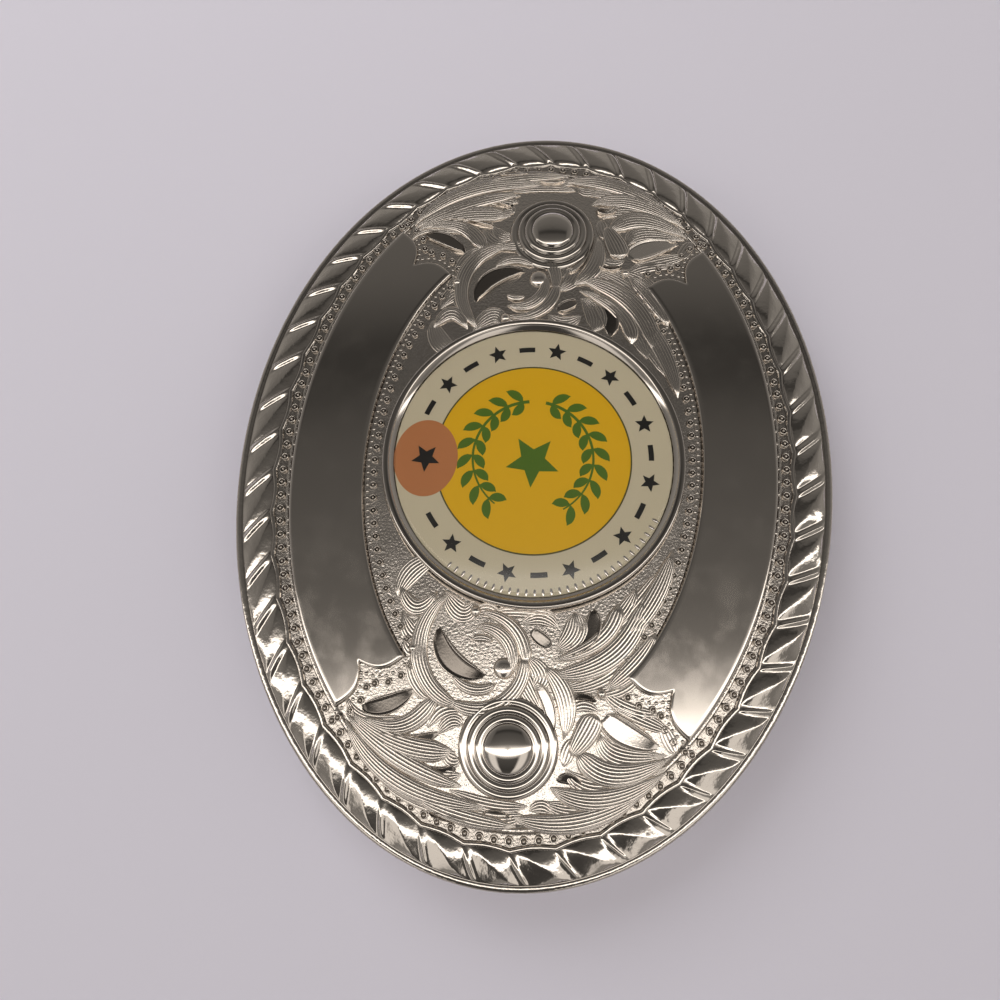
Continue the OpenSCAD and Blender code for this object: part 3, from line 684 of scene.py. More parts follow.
def ribbon_share(x, y):
    """Which of the ribbon's ovals passes through a point: 0 on its inner edge, 1 on its outer."""
    low, high = np.full(np.shape(x), -0.3), np.full(np.shape(x), 1.4)
    for _ in range(40):
        middle = (low + high) / 2
        rx, ry = (a + b * middle for a, b in zip(RIBBON_INNER, RIBBON_ADDS))
        inside = (x / rx) ** 2 + (y / ry) ** 2 > 1
        low, high = np.where(inside, middle, low), np.where(inside, high, middle)
    return (low + high) / 2


class BuildRibbons(bpy.types.Operator):
    """Builds the two bare ribbon panels with their bright bevelled edges"""

    bl_idname = "buckle.ribbons"
    bl_label = "Ribbons"

    def execute(self, context):
        sizes, colours = settings(context)
        oval = Oval(sizes)
        brace = brace_line()
        share = ribbon_share(brace[:, 0], brace[:, 1])
        share = (share - share[0]) / (share[-1] - share[0])
        share = np.maximum.accumulate(share + np.arange(len(share)) * 1e-6)
        share = share / share[-1]
        rise = sizes.ribbon_rise / MM
        fine = np.array(RIBBON_EDGE)[:, 0]
        width = RIBBON_ADDS[1]
        v = np.concatenate([fine / width, np.linspace(0.11, 0.89, 40), 1 - fine[::-1] / width])
        u = np.concatenate([fine / RIBBON_RUN, np.linspace(0.015, 0.985, 140), 1 - fine[::-1] / RIBBON_RUN])
        end_x = np.interp(v, share, brace[:, 0])
        end_y = np.interp(v, share, brace[:, 1])
        rx, ry = ((a + b * v)[:, None] for a, b in zip(RIBBON_INNER, RIBBON_ADDS))
        reach = np.arctan2(end_y[:, None] / ry, end_x[:, None] / rx)
        angle = reach + (np.pi - 2 * reach) * u[None, :]
        x, y = rx * np.cos(angle), ry * np.sin(angle)
        from_inner = v[:, None] * width
        from_outer = (1 - v)[:, None] * width
        run = np.minimum(u, 1 - u)[None, :] * (np.pi - 2 * reach) * rx
        edge = np.minimum(np.minimum(from_inner, from_outer), run)
        height = np.interp(edge, *np.array(RIBBON_EDGE).T) + rise
        # Painted shadow along the ribbon's foot, where it meets the field
        dark = 0.85 * (height < 0.05)
        body = Body()
        body.grid(oval.lift(np.stack([x, y], axis=-1), height)[::-1], painted_shade=dark[::-1])
        body.grid(oval.lift(np.stack([x, -y], axis=-1), height), painted_shade=dark)
        metal = plated_metal("ribbon_plating", colours, 0.1, cloud=0.08)
        hand_over(body.build("ribbons", [metal]), "plated_casting", "face_plate")
        return {"FINISHED"}


class BuildBosses(bpy.types.Operator):
    """Builds the two round bosses of three rings and a dome"""

    bl_idname = "buckle.bosses"
    bl_label = "Bosses"

    def execute(self, context):
        sizes, colours = settings(context)
        oval = Oval(sizes)
        radius = sizes.boss_radius / MM
        body = Body()
        profile = [(share * radius, rise) for share, rise in BOSS_PROFILE]
        for x in (sizes.boss_at_loop / MM, -sizes.boss_at_prong / MM):
            centre = (x, 0, oval.height(x, 0))
            body.turn(profile, centre, oval.normal(np.array(x), np.array(0.0)), 96, BOSS_DARK)
        metal = plated_metal("boss_plating", colours, 0.06)
        hand_over(body.build("bosses", [metal]), "plated_casting", "face_plate")
        return {"FINISHED"}


def through(a, b, c, t):
    """A curve that passes a, b and c at t = 0, 0.5 and 1."""
    return a * (1 - t) * (1 - 2 * t) + b * 4 * t * (1 - t) + c * t * (2 * t - 1)


def taper(t):
    """Draws a width in to a point at both ends."""
    return np.sqrt(np.clip(np.minimum(t, 1 - t) / 0.16, 0.03, 1))


def spine(row, steps, widen=1.0):
    """A row's spine and its half width at each step."""
    t = np.linspace(0, 1, steps)
    x = through(row[0], row[2], row[4], t)
    y = through(row[1], row[3], row[5], t)
    return np.stack([x, y], axis=-1), through(*row[6:9], t) / 2 * widen * taper(t)


def ring_spine(eye, row, steps):
    """The same for a lock that winds about the scroll's eye."""
    a0, a1, r0, r1 = row[:4]
    t = np.linspace(0, 1, steps)
    angle = np.radians(a0 + (a1 - a0) * t)
    radius = r0 + (r1 - r0) * t
    line = np.array(eye) + radius[:, None] * np.stack([np.cos(angle), np.sin(angle)], axis=-1)
    return line, through(*row[4:], t) / 2 * taper(t)


def sides(line):
    """Unit vectors to the left of a line."""
    way = np.gradient(line, axis=0)
    way = way / np.linalg.norm(way, axis=1, keepdims=True)
    return np.stack([-way[:, 1], way[:, 0]], axis=-1)


def lock(body, oval, line, half, rise, pitch):
    """A lock: a low swell with cut lines that run along it and draw together at its ends."""
    cuts = max(2, round(2 * half.max() / pitch))
    places = (np.arange(cuts)[:, None] + np.array(CUT_PLACES)).ravel()
    across = np.append(places / cuts * 2 - 1, 1)
    wave = np.append(np.tile(CUT_HEIGHTS, cuts), 0)
    swell = (1 - across**4) ** 0.6
    t = np.linspace(0, 1, len(line))
    ends = step(np.minimum(t, 1 - t) / 0.08)
    normal = sides(line)
    points = line[None] + across[:, None, None] * (half[:, None] * normal)[None]
    cut = 0.12 * pitch * np.minimum(1, half / half.max() + 0.2)
    height = rise * swell[:, None] * ends + cut * (wave[:, None] - 0.9) * (0.4 + 0.6 * ends) + 0.06
    height = np.where(np.abs(across)[:, None] > 0.999, -0.12, height)
    # Painted shade in the cut grooves
    dark = 0.75 * np.maximum(0, 1 - wave[:, None]) ** 2
    body.grid(oval.lift(points, height), painted_shade=dark)


def leaf(body, oval, line, half, rise, dark):
    """A smooth leaf: a raised lip round a hollow that tips towards its bowed side."""
    across = np.concatenate([-1 + 0.3 * spread(6), np.linspace(-0.62, 0.62, 13), 0.7 + 0.3 * spread(6)])
    edge = 1 - np.abs(across)
    lip = step(edge / 0.12) * (1 - 0.55 * step((edge - 0.12) / 0.25))
    t = np.linspace(0, 1, len(line))
    ends = step(np.minimum(t, 1 - t) / 0.1)
    points = line[None] + across[:, None, None] * (half[:, None] * sides(line))[None]
    height = (rise + 0.1) * lip[:, None] * ends - 0.1 + 0.16 * across[:, None] * ends
    # Painted shade in the hollow, as dark as the row says, fading out towards the lip
    body.grid(oval.lift(points, height), painted_shade=dark * step((edge - 0.1) / 0.2)[:, None])


class BuildScrollwork(bpy.types.Operator):
    """Builds the locks of cut lines, the smooth leaves, the round scroll and the knobs"""

    bl_idname = "buckle.scrollwork"
    bl_label = "Scrollwork"

    def execute(self, context):
        sizes, colours = settings(context)
        oval = Oval(sizes)
        pitch = sizes.cut_pitch / MM
        body = Body()
        for row in FILLERS:
            line, half = spine(row, FILLER_STEPS, FILLER_WIDEN)
            lock(body, oval, line, half, FILLER_RISE, pitch)
        for row in LOCKS:
            line, half = spine(row, LOCK_STEPS, LOCK_WIDEN)
            lock(body, oval, line, half, LOCK_RISE, pitch)
        for row in SCROLL_RINGS:
            line, half = ring_spine(SCROLL_EYE, row, RING_STEPS)
            lock(body, oval, line, half, RING_RISE, pitch)
        for row in LEAVES:
            line, half = spine(row, LEAF_STEPS)
            leaf(body, oval, line, half, LEAF_RISE, row[9])
        for x, y, radius in KNOBS:
            profile = [(radius * r, KNOB_RISE * h) for r, h in DOT_PROFILE]
            body.turn(profile, (x, y, oval.height(x, y)), columns=28)
        # The scrollwork takes the lighter copy of the metal, with its painted sheen
        metal = plated_metal("cut_plating", colours, 0.17, 0.00001, 0.3, tone="sheen_painted_metal")
        piece = body.build("scrollwork", [metal], mirror=True)
        hand_over(piece, "plated_casting", "face_plate")
        return {"FINISHED"}


def even_points(line, pitch, closed=False):
    """Points a pitch apart along a line; the pitch is adjusted to fit."""
    if closed:
        line = np.concatenate([line, line[:1]])
    travel = np.concatenate([[0], np.cumsum(np.hypot(*np.diff(line, axis=0).T))])
    count = max(1, round(travel[-1] / pitch))
    places = np.arange(count + (0 if closed else 1)) * travel[-1] / count
    return np.stack([np.interp(places, travel, line[:, k]) for k in (0, 1)], axis=-1)


def ribbon_border(distance):
    """A line round a ribbon's inner edge and both of its ends, at a distance outside them."""
    brace = brace_line(12)
    rx, ry = RIBBON_INNER
    reach = math.atan2(BRACE_CORNER[1] / ry, BRACE_CORNER[0] / rx)
    angle = np.linspace(math.pi - reach, reach, 60)
    inner = np.stack([rx * np.cos(angle), ry * np.sin(angle)], axis=-1)
    line = np.concatenate([brace[::-1] * [-1, 1], inner[1:-1], brace])
    fine = even_points(line, 0.25)
    way = np.gradient(fine, axis=0)
    way = way / np.linalg.norm(way, axis=1, keepdims=True)
    moved = fine + distance * np.stack([way[:, 1], -way[:, 0]], axis=-1)
    gap = np.linalg.norm(moved[:, None] - fine[None], axis=2).min(axis=1)
    moved = moved[gap > distance * 0.93]
    inside = (moved[:, 0] / ROW_LIMIT[0]) ** 2 + (moved[:, 1] / ROW_LIMIT[1]) ** 2 < 1
    return moved[inside]


def bead_tree():
    """Geometry Nodes: one bead at each vertex, turned to face the way the vertex says."""
    tree = bpy.data.node_groups.get("bead_rows")
    if tree:
        return tree
    tree = bpy.data.node_groups.new("bead_rows", "GeometryNodeTree")
    face = tree.interface
    face.new_socket("Geometry", in_out="INPUT", socket_type="NodeSocketGeometry")
    face.new_socket("Bead", in_out="INPUT", socket_type="NodeSocketObject")
    face.new_socket("Material", in_out="INPUT", socket_type="NodeSocketMaterial")
    face.new_socket("Bead size", in_out="INPUT", socket_type="NodeSocketFloat")
    face.new_socket("Size variation", in_out="INPUT", socket_type="NodeSocketFloat")
    face.new_socket("Seed", in_out="INPUT", socket_type="NodeSocketInt")
    face.new_socket("Geometry", in_out="OUTPUT", socket_type="NodeSocketGeometry")
    given = tree.nodes.new("NodeGroupInput").outputs
    shape = add_node(tree, "GeometryNodeObjectInfo", (-400, -200), Object=given["Bead"])
    facing = add_node(tree, "GeometryNodeInputNamedAttribute", (-600, -400), Name="facing")
    facing.data_type = "FLOAT_VECTOR"
    turn = add_node(tree, "FunctionNodeAlignRotationToVector", (-400, -400), Vector=facing.outputs[0])
    turn.axis = "Z"
    chance = add_node(tree, "FunctionNodeRandomValue", (-600, -600), Seed=given["Seed"])
    chance.data_type = "FLOAT"
    least = add_node(tree, "ShaderNodeMath", (-800, -600), i0=1.0, i1=given["Size variation"])
    least.operation = "SUBTRACT"
    tree.links.new(least.outputs[0], chance.inputs[2])
    chance.inputs[3].default_value = 1.0
    scale = add_node(tree, "ShaderNodeMath", (-400, -600), i0=given["Bead size"], i1=chance.outputs[1])
    scale.operation = "MULTIPLY"
    beads = add_node(
        tree, "GeometryNodeInstanceOnPoints", (-100, 0),
        Points=given["Geometry"], Instance=shape.outputs["Geometry"],
        Rotation=turn.outputs[0], Scale=scale.outputs[0],
    )
    real = add_node(tree, "GeometryNodeRealizeInstances", (100, 0), Geometry=beads.outputs[0])
    painted = add_node(
        tree, "GeometryNodeSetMaterial", (300, 0), Geometry=real.outputs[0], Material=given["Material"]
    )
    out = tree.nodes.new("NodeGroupOutput")
    out.location = (500, 0)
    tree.links.new(painted.outputs[0], out.inputs[0])
    return tree


def bead_row(name, oval, places, rise, profile, columns, size, height, metal, seed, dark=None):
    """Beads at the places, as one plain mesh. size and height are in millimetres."""
    shape = Body()
    ring = [(size / 2 * r, height * h) for r, h in profile]
    # dark gives the painted shade of each row of the profile
    shape.turn(ring, (0, 0, 0), columns=columns, painted_shade=dark if dark else 0.0)
    one = shape.build(name + "_bead", [metal])
    points = oval.lift(places, rise)
    mesh = bpy.data.meshes.new(name + "_points")
    mesh.from_pydata((points * MM).tolist(), [], [])
    facing = mesh.attributes.new("facing", "FLOAT_VECTOR", "POINT")
    facing.data.foreach_set("vector", oval.normal(places[:, 0], places[:, 1]).astype(np.float32).ravel())
    carrier = bpy.data.objects.new(name + "_carrier", mesh)
    bpy.context.scene.collection.objects.link(carrier)
    modifier = carrier.modifiers.new("rows", "NODES")
    modifier.node_group = bead_tree()
    values = {"Bead": one, "Material": metal, "Bead size": 1.0, "Size variation": 0.06, "Seed": seed}
    for item in modifier.node_group.interface.items_tree:
        if item.in_out == "INPUT" and item.name in values:
            modifier[item.identifier] = values[item.name]
    graph = bpy.context.evaluated_depsgraph_get()
    made = bpy.data.meshes.new_from_object(carrier.evaluated_get(graph), depsgraph=graph)
    made.name = name
    carrier.modifiers.clear()
    bpy.data.objects.remove(carrier)
    bpy.data.objects.remove(one)
    piece = bpy.data.objects.new(name, made)
    bpy.context.scene.collection.objects.link(piece)
    made.polygons.foreach_set("use_smooth", np.ones(len(made.polygons), bool))
    return hand_over(piece, "plated_casting", "face_plate")


class BuildBeads(bpy.types.Operator):
    """Builds the ring beads in the channel and round the ribbons, and the rows of small dots"""

    bl_idname = "buckle.beads"
    bl_label = "Bead rows"

    def execute(self, context):
        sizes, colours = settings(context)
        oval = Oval(sizes)
        metal = plated_metal("bead_plating", colours, 0.12)
        width, rise = sizes.bead_width / MM, sizes.bead_rise / MM
        path = oval.at(np.linspace(0, oval.length, 2000, endpoint=False), BEAD_LINE)
        closed = np.concatenate([path, path[:1]])
        travel = np.concatenate([[0], np.cumsum(np.hypot(*np.diff(closed, axis=0).T))])
        at = BEAD_START + np.arange(sizes.ring_beads) * travel[-1] / sizes.ring_beads
        ring = np.stack([np.interp(at, travel, closed[:, k]) for k in (0, 1)], axis=-1)
        floor = -sizes.channel_depth / MM
        high = rise + CHANNEL_BEAD_EXTRA
        bead_row("channel_beads", oval, ring, floor, BEAD_PROFILE, 20, width, high, metal, 3, BEAD_DARK)
        places = np.concatenate(self.both_ribbons(*RIBBON_BEAD_ROW))
        width, high = width * RIBBON_BEAD_SHARE, rise + RIBBON_BEAD_EXTRA
        bead_row("ribbon_beads", oval, places, 0.0, BEAD_PROFILE, 18, width, high, metal, 5, BEAD_DARK)
        beside = ring * BESIDE_SCALE
        rows = self.both_ribbons(*RIBBON_DOT_ROW)
        rows.append(beside[np.abs(beside[:, 0]) < BESIDE_REACH])
        places, width = np.concatenate(rows), sizes.dot_width / MM
        bead_row("small_dots", oval, places, 0.0, DOT_PROFILE, 10, width, DOT_HEIGHT, metal, 7)
        return {"FINISHED"}

    def both_ribbons(self, distance, pitch):
        """Points a pitch apart round each ribbon, at a distance outside its edge."""
        line = ribbon_border(distance)
        return [even_points(part, pitch) for part in (line, line * [1, -1])]


class BuildCollar(bpy.types.Operator):
    """Builds the turned collar with the milled band inside its rim"""

    bl_idname = "buckle.collar"
    bl_label = "Collar"

    def execute(self, context):
        sizes, colours = settings(context)
        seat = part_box("bezel")[0].z / MM
        body = Body()
        body.turn([(r, h + seat) for r, h in COLLAR_PROFILE], (0, 0, 0), columns=192, painted_shade=COLLAR_DARK)
        self.band(body, seat)
        body.turn([(r, h + seat) for r, h in COLLAR_FOOT], (0, 0, 0), columns=96)
        self.strokes(body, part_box("emblem_disc")[1].z / MM)
        metal = plated_metal("collar_plating", colours, 0.07)
        hand_over(body.build("collar", [metal]), "collar_metal", "bezel")
        return {"FINISHED"}

    def band(self, body, seat):
        """The ring of teeth on the collar's inner wall."""
        angle = np.linspace(0, 2 * np.pi, BAND_TEETH * 6, endpoint=False)
        wave = np.abs(np.sin(BAND_TEETH * angle / 2))
        rows = []
        for radius, height, depth in BAND_PROFILE:
            r = radius + depth * (wave - 1) * 0.7 + depth * 0.35
            level = np.full(len(angle), seat + height)
            rows.append(np.stack([r * np.cos(angle), r * np.sin(angle), level], axis=-1))
        # The teeth carry half the painted shade
        body.grid(np.array(rows), closed=True, painted_shade=0.5)

    def strokes(self, body, level):
        """The milled strokes that lie on the print's edge, at the end with the strap loop."""
        across = np.linspace(-1, 1, 9)
        for place in np.radians(np.arange(*MILL_ARC)):
            out = np.array([math.cos(place), math.sin(place)])
            aside = np.array([-out[1], out[0]])
            rows = []
            for radius, half, height in MILL_STROKE:
                points = radius * out + half * across[:, None] * aside
                rise = level + height * (1 - across**2) ** 0.5
                rows.append(np.concatenate([points, rise[:, None]], axis=-1))
            body.grid(np.array(rows))


def disc_rows(radius, level, rings=12, columns=128, centre=(0, 0), inner=0.0, stretch=(1, 1)):
    """A flat disc or ring as a grid from its edge inwards."""
    angle = np.linspace(0, 2 * np.pi, columns, endpoint=False)
    shares = np.linspace(1, inner / radius if inner else 0.001, rings)
    points = np.zeros((rings, columns, 3))
    points[..., 0] = centre[0] + stretch[0] * radius * shares[:, None] * np.cos(angle)
    points[..., 1] = centre[1] + stretch[1] * radius * shares[:, None] * np.sin(angle)
    points[..., 2] = level
    return points


class BuildPrint(bpy.types.Operator):
    """Builds the printed disc: a pale ring with dark stars and dashes, a yellow middle with a wreath
    of green leaves, and an orange disc"""

    bl_idname = "buckle.print"
    bl_label = "Print"

    def execute(self, context):
        sizes, colours = settings(context)
        low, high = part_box("emblem_disc")
        top, bottom = high.z / MM, low.z / MM
        radius = sizes.disc_radius / MM
        outer, inner = OUTLINE_RADII
        body = Body()
        body.grid(disc_rows(radius, top), closed=True, slot=0)
        body.turn([(radius, bottom), (radius, top)], (0, 0, 0), columns=128, slot=0)
        body.turn([(0.001, bottom), (radius, bottom)], (0, 0, 0), columns=128, slot=0)
        body.grid(disc_rows(MIDDLE_RADIUS, top + 0.006), closed=True, slot=1)
        body.grid(disc_rows(outer, top + 0.009, 2, inner=inner), closed=True, slot=2)
        self.wreath(body, top)
        # a five-pointed star in the middle
        self.star(body, (0.4, 0.0), 3.5, top + 0.012, 3)
        accent = disc_rows(4.6, top + 0.014, centre=ACCENT_PLACE, stretch=(1.1, 0.88))
        body.grid(accent, closed=True, slot=4)
        self.star(body, ACCENT_PLACE, 1.9, top + 0.018, 5)
        self.marks(body, top + 0.015)
        paints = [
            paint("print_border", colours.border), paint("print_field", colours.field),
            paint("print_outline", colours.outline), paint("print_motif", colours.motif),
            paint("print_accent", colours.accent), paint("print_marks", colours.marks),
        ]
        hand_over(body.build("print", paints, smooth=False), "print", "emblem_disc")
        return {"FINISHED"}

    def wreath(self, body, top):
        """Two bowed sprigs of leaves, open towards +X."""
        for side in (1, -1):
            for k in range(9):
                a = math.radians(180 - side * (14 + 15.5 * k))
                root = np.array([math.cos(a), math.sin(a)]) * SPRIG_RADIUS
                for lean, reach in ((0.75, 2.7), (-0.7, 2.3)):
                    b = a - side * (math.pi / 2) + side * lean
                    tip = root + np.array([math.cos(b), math.sin(b)]) * reach
                    bow = np.array([-(tip - root)[1], (tip - root)[0]]) * 0.1 * side * np.sign(lean)
                    middle = (root + tip) / 2 + bow
                    line, half = spine((*root, *middle, *tip, 0.1, 1.15, 0.08), 12)
                    self.flat(body, line, half, top + 0.012, 3)
            arc = np.radians(180 - side * np.linspace(8, 146, 40))
            stem = SPRIG_RADIUS * np.stack([np.cos(arc), np.sin(arc)], axis=-1)
            self.flat(body, stem, np.linspace(0.22, 0.1, 40), top + 0.011, 3)

    def marks(self, body, level):
        """Stars and dashes by turns round the pale ring, clear of the orange disc."""
        for k in range(24):
            a = math.radians(7.5 + 15 * k)
            if abs((math.degrees(a) - 275 + 180) % 360 - 180) < 27:
                continue
            if k % 2:
                place = (MARK_RADIUS * math.cos(a), MARK_RADIUS * math.sin(a))
                self.star(body, place, 1.25, level, 5, a)
            else:
                arc = np.linspace(a - 0.07, a + 0.07, 8)
                line = MARK_RADIUS * np.stack([np.cos(arc), np.sin(arc)], axis=-1)
                self.flat(body, line, np.full(8, 0.33), level, 5)

    def flat(self, body, line, half, level, slot):
        """A flat strip along a line, with its half width at each step."""
        across = np.array([-1, -0.5, 0, 0.5, 1])
        points = line[None] + across[:, None, None] * (half[:, None] * sides(line))[None]
        z = np.full(points.shape[:2] + (1,), level)
        body.grid(np.concatenate([points, z], axis=-1), slot=slot)

    def star(self, body, centre, radius, level, slot, turn=0.0):
        angle = turn + np.pi * np.arange(10) / 5
        reach = radius * np.where(np.arange(10) % 2 == 0, 1, 0.45)
        edge = np.stack([centre[0] + reach * np.cos(angle), centre[1] + reach * np.sin(angle)], axis=-1)
        core = edge * 0 + np.array(centre) + (edge - np.array(centre)) * 0.01
        points = np.stack([edge, core])
        z = np.full(points.shape[:2] + (1,), level)
        body.grid(np.concatenate([points, z], axis=-1), closed=True, slot=slot)


class BuildDome(bpy.types.Operator):
    """Builds the clear dome over the print"""

    bl_idname = "buckle.dome"
    bl_label = "Clear dome"

    def execute(self, context):
        sizes, colours = settings(context)
        low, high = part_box("emblem_dome")
        base, top = low.z / MM, high.z / MM
        radius = sizes.disc_radius / MM
        cap = top - base - DOME_EDGE
        profile = [(0.001, base), (radius - 0.02, base), (radius, base + 0.02), (radius, base + 0.1)]
        for share in np.linspace(1, 0, 41):
            profile.append((max(0.001, radius * share), top - cap * share**DOME_POWER))
        body = Body()
        body.turn(profile, (0, 0, 0), columns=128)
        material, tree, shader = new_material("clear_resin")
        shader.inputs["Base Color"].default_value = linear("#FBF8EE")
        shader.inputs["Roughness"].default_value = 0.03
        shader.inputs["Transmission Weight"].default_value = 1.0
        see_through = add_node(tree, "ShaderNodeBsdfTransparent", (0, -300), Color=linear("#FFFFFF"))
        gloss = add_node(tree, "ShaderNodeBsdfGlossy", (0, -450), Roughness=0.03)
        fresnel = add_node(tree, "ShaderNodeFresnel", (-200, -50), IOR=1.5)
        inside = add_node(tree, "ShaderNodeNewGeometry", (-400, -150)).outputs["Backfacing"]
        outside = add_node(tree, "ShaderNodeMath", (-200, -200), i0=1.0, i1=inside)
        outside.operation = "SUBTRACT"
        shine = add_node(tree, "ShaderNodeMath", (0, -100), i0=fresnel.outputs[0], i1=outside.outputs[0])
        shine.operation = "MULTIPLY"
        mix = add_node(
            tree, "ShaderNodeMixShader", (250, -200),
            i0=shine.outputs[0], i1=see_through.outputs[0], i2=gloss.outputs[0],
        )
        tree.links.new(mix.outputs[0], tree.nodes["Material Output"].inputs["Surface"])
        hand_over(body.build("dome", [material]), "clear_dome", "emblem_dome")
        return {"FINISHED"}


class BuildBack(bpy.types.Operator):
    """Builds the plain back of the casting with its bevelled edge and soldering pads"""

    bl_idname = "buckle.back"
    bl_label = "Back"

    def execute(self, context):
        sizes, colours = settings(context)
        oval = Oval(sizes)
        columns = 368
        s = np.arange(columns) * oval.length / columns
        thick = sizes.plate_thickness / MM
        rows = []
        for share in (0.0004, 0.2, 0.4, 0.6, 0.8, 0.99):
            rows.append(oval.lift(oval.at(s, 7.22) * share, -thick))
        bevel = [(4.0, -thick), (1.3, -thick), (1.2, -thick + 0.02), (0.05, -1.66), (0.0, -1.6)]
        for distance, rise in bevel:
            rows.append(oval.lift(oval.at(s, distance), rise))
        body = Body()
        body.grid(np.array(rows), closed=True)
        loop_low, loop_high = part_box("belt_loop")
        prong_low, prong_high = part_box("prong")
        stand = loop_high.z / MM + 0.1
        side = loop_high.y / MM - 3.2
        loop_x = (loop_low.x + loop_high.x) / 2 / MM
        prong_x = (prong_low.x + prong_high.x) / 2 / MM
        pad = [(0.001, stand), (3.75, stand), (3.8, stand + 0.05), (3.8, stand + 1.6)]
        for x, y in ((loop_x, side), (loop_x, -side), (prong_x, 0)):
            body.turn(pad, (x, y, 0), columns=48)
        metal = plated_metal("back_plating", colours, 0.22, 0.00006, 0.5)
        hand_over(body.build("plate_back", [metal]), "plated_casting", "face_plate")
        wire = plated_metal("wire_plating", colours, 0.16)
        for name in ("belt_loop", "prong"):
            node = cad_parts[name]
            node.data.materials.clear()
            node.data.materials.append(wire)
            node.data.polygons.foreach_set("use_smooth", np.ones(len(node.data.polygons), bool))
        return {"FINISHED"}


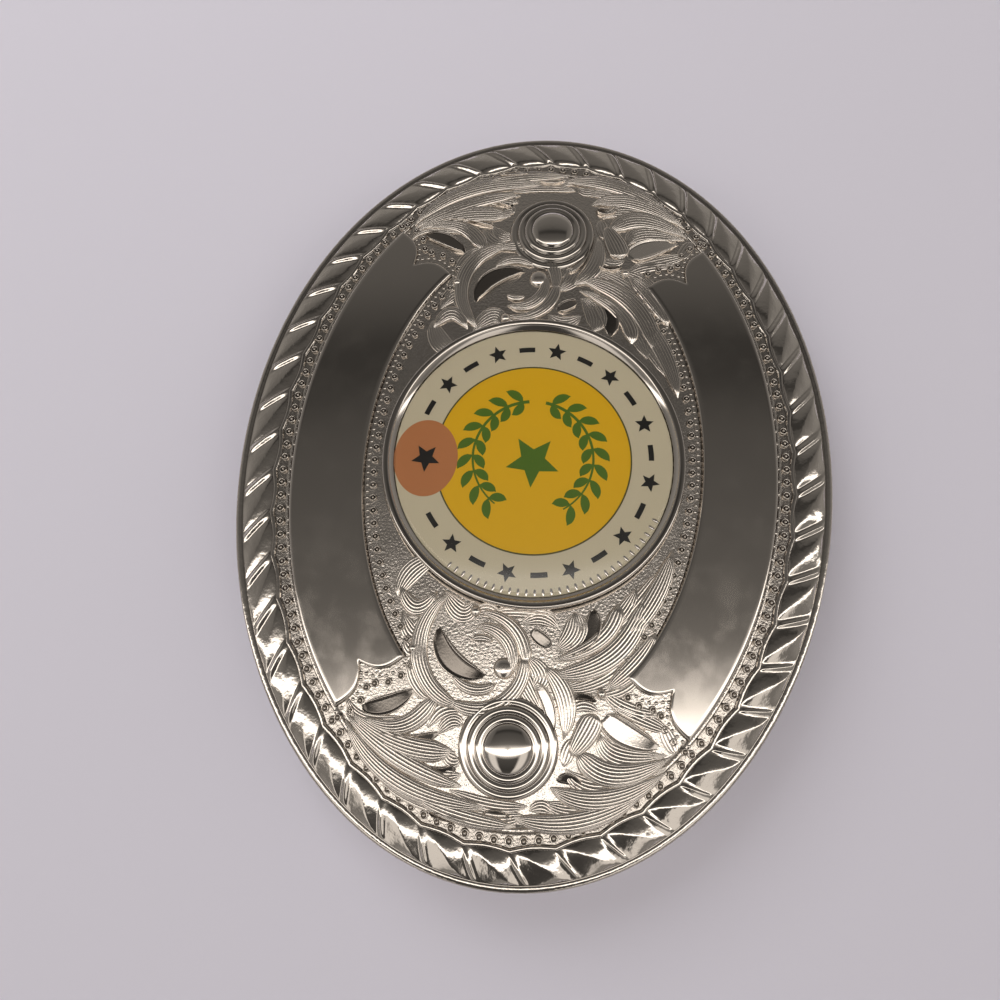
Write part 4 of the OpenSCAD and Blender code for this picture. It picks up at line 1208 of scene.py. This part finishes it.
class BuildStage(bpy.types.Operator):
    """Builds the pale floor, the room's light and the camera"""

    bl_idname = "buckle.stage"
    bl_label = "Floor, light and camera"

    def execute(self, context):
        sizes, colours = settings(context)
        mesh = bpy.data.meshes.new("floor")
        r = 1.5
        mesh.from_pydata([(-r, -r, 0), (r, -r, 0), (r, r, 0), (-r, r, 0)], [], [(0, 1, 2, 3)])
        floor = bpy.data.objects.new("floor", mesh)
        context.scene.collection.objects.link(floor)
        mesh.materials.append(paint("floor_paper", colours.floor, 0.9))
        self.room(context)
        self.camera(context)
        context.scene.view_settings.view_transform = "Standard"
        context.scene.view_settings.look = "None"
        return {"FINISHED"}

    def room(self, context):
        world = bpy.data.worlds.new("room")
        context.scene.world = world
        world.use_nodes = True
        tree = world.node_tree
        shader = tree.nodes["Background"]
        way = add_node(tree, "ShaderNodeTexCoord", (-1200, 0)).outputs["Generated"]
        part = add_node(tree, "ShaderNodeSeparateXYZ", (-1000, 0), Vector=way).outputs
        slide = add_node(tree, "ShaderNodeMath", (-900, 100), i0=part["Y"], i1=0.12, i2=part["X"])
        slide.operation = "MULTIPLY_ADD"
        lean = add_node(tree, "ShaderNodeMath", (-800, 100), i0=slide.outputs[0], i1=part["Z"])
        lean.operation = "ARCTAN2"
        share = add_node(tree, "ShaderNodeMath", (-600, 100), i0=lean.outputs[0], i1=1 / math.pi, i2=0.5)
        share.operation = "MULTIPLY_ADD"
        along = ramp(tree, share.outputs[0], [((a + 90) / 180, v) for a, v in ROOM_ALONG], (-400, 100))
        side = add_node(tree, "ShaderNodeMath", (-800, -200), i0=part["Y"], i1=part["Z"])
        side.operation = "ARCTAN2"
        wide = add_node(tree, "ShaderNodeMath", (-600, -200), i0=side.outputs[0])
        wide.operation = "ABSOLUTE"
        turned = add_node(tree, "ShaderNodeMath", (-500, -200), i0=wide.outputs[0], i1=2 / math.pi)
        turned.operation = "MULTIPLY"
        flank = ramp(tree, turned.outputs[0], ROOM_FLANK, (-400, -200))
        windows = ramp(tree, turned.outputs[0], ROOM_WINDOWS, (-400, -400))
        reach = ramp(tree, share.outputs[0], WINDOW_REACH, (-400, -600))
        lit = self.blend(tree, "MULTIPLY", windows, reach, (-150, -400))
        both = self.blend(tree, "LIGHTEN", along, flank, (-150, 0))
        both = self.blend(tree, "LIGHTEN", both, lit, (0, -200))
        above = ramp(tree, part["Z"], HORIZON_FADE, (-150, 200))
        both = self.blend(tree, "MIX", HORIZON_GREY, both, (100, 100), above)
        tint = self.blend(tree, "MULTIPLY", both, linear("#FFF9F2"), (250, 0))
        tree.links.new(tint, shader.inputs["Color"])
        key = bpy.data.lights.new("key", "AREA")
        key.energy = 1.0
        key.size = 0.35
        lamp = bpy.data.objects.new("key", key)
        lamp.location = (-0.3, -0.27, 0.4)
        lamp.rotation_euler = (Vector((0, 0, 0)) - lamp.location).to_track_quat("-Z", "Y").to_euler()
        lamp.visible_glossy = False
        context.scene.collection.objects.link(lamp)

    def blend(self, tree, kind, a, b, place, share=1.0):
        """Two colours, or sockets that give them, put together by a share, or a socket that gives it."""
        node = tree.nodes.new("ShaderNodeMix")
        node.data_type = "RGBA"
        node.blend_type = kind
        node.location = place
        for socket, value in ((node.inputs[0], share), (node.inputs[6], a), (node.inputs[7], b)):
            if isinstance(value, bpy.types.NodeSocket):
                tree.links.new(value, socket)
            else:
                socket.default_value = value
        return node.outputs[2]

    def camera(self, context):
        data = bpy.data.cameras.new("camera")
        data.sensor_width = 36
        data.lens = LENS
        data.clip_start = 0.005
        data.clip_end = 10
        camera = bpy.data.objects.new("camera", data)
        right, up = Vector(CAMERA_RIGHT), Vector(CAMERA_UP)
        columns = (right, up, right.cross(up), Vector(CAMERA_PLACE))
        camera.matrix_world = Matrix([[column[k] for column in columns] for k in range(3)] + [[0, 0, 0, 1]])
        context.scene.collection.objects.link(camera)
        context.scene.camera = camera


OPERATORS = (
    BuildRopeEdge, BuildField, BuildRibbons, BuildBosses, BuildScrollwork, BuildBeads, BuildCollar,
    BuildPrint, BuildDome, BuildBack, BuildStage,
)


class BucklePanel(bpy.types.Panel):
    """Sizes, colours and a button for each step"""

    bl_idname = "VIEW3D_PT_buckle"
    bl_label = "Buckle"
    bl_space_type = "VIEW_3D"
    bl_region_type = "UI"
    bl_category = "Buckle"

    def draw(self, context):
        for group in settings(context):
            for name in group.__annotations__:
                self.layout.prop(group, name)
        for operator in OPERATORS:
            self.layout.operator(operator.bl_idname)


CLASSES = (BuckleSizes, BuckleColours, *OPERATORS, BucklePanel)


def register():
    for item in CLASSES:
        bpy.utils.register_class(item)
    bpy.types.Scene.buckle_sizes = PointerProperty(type=BuckleSizes)
    bpy.types.Scene.buckle_colours = PointerProperty(type=BuckleColours)


def unregister():
    del bpy.types.Scene.buckle_colours
    del bpy.types.Scene.buckle_sizes
    for item in reversed(CLASSES):
        bpy.utils.unregister_class(item)


def main():
    register()
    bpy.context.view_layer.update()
    for operator in OPERATORS:
        getattr(bpy.ops.buckle, operator.bl_idname.split(".")[1])()


if __name__ == "__main__":
    main()
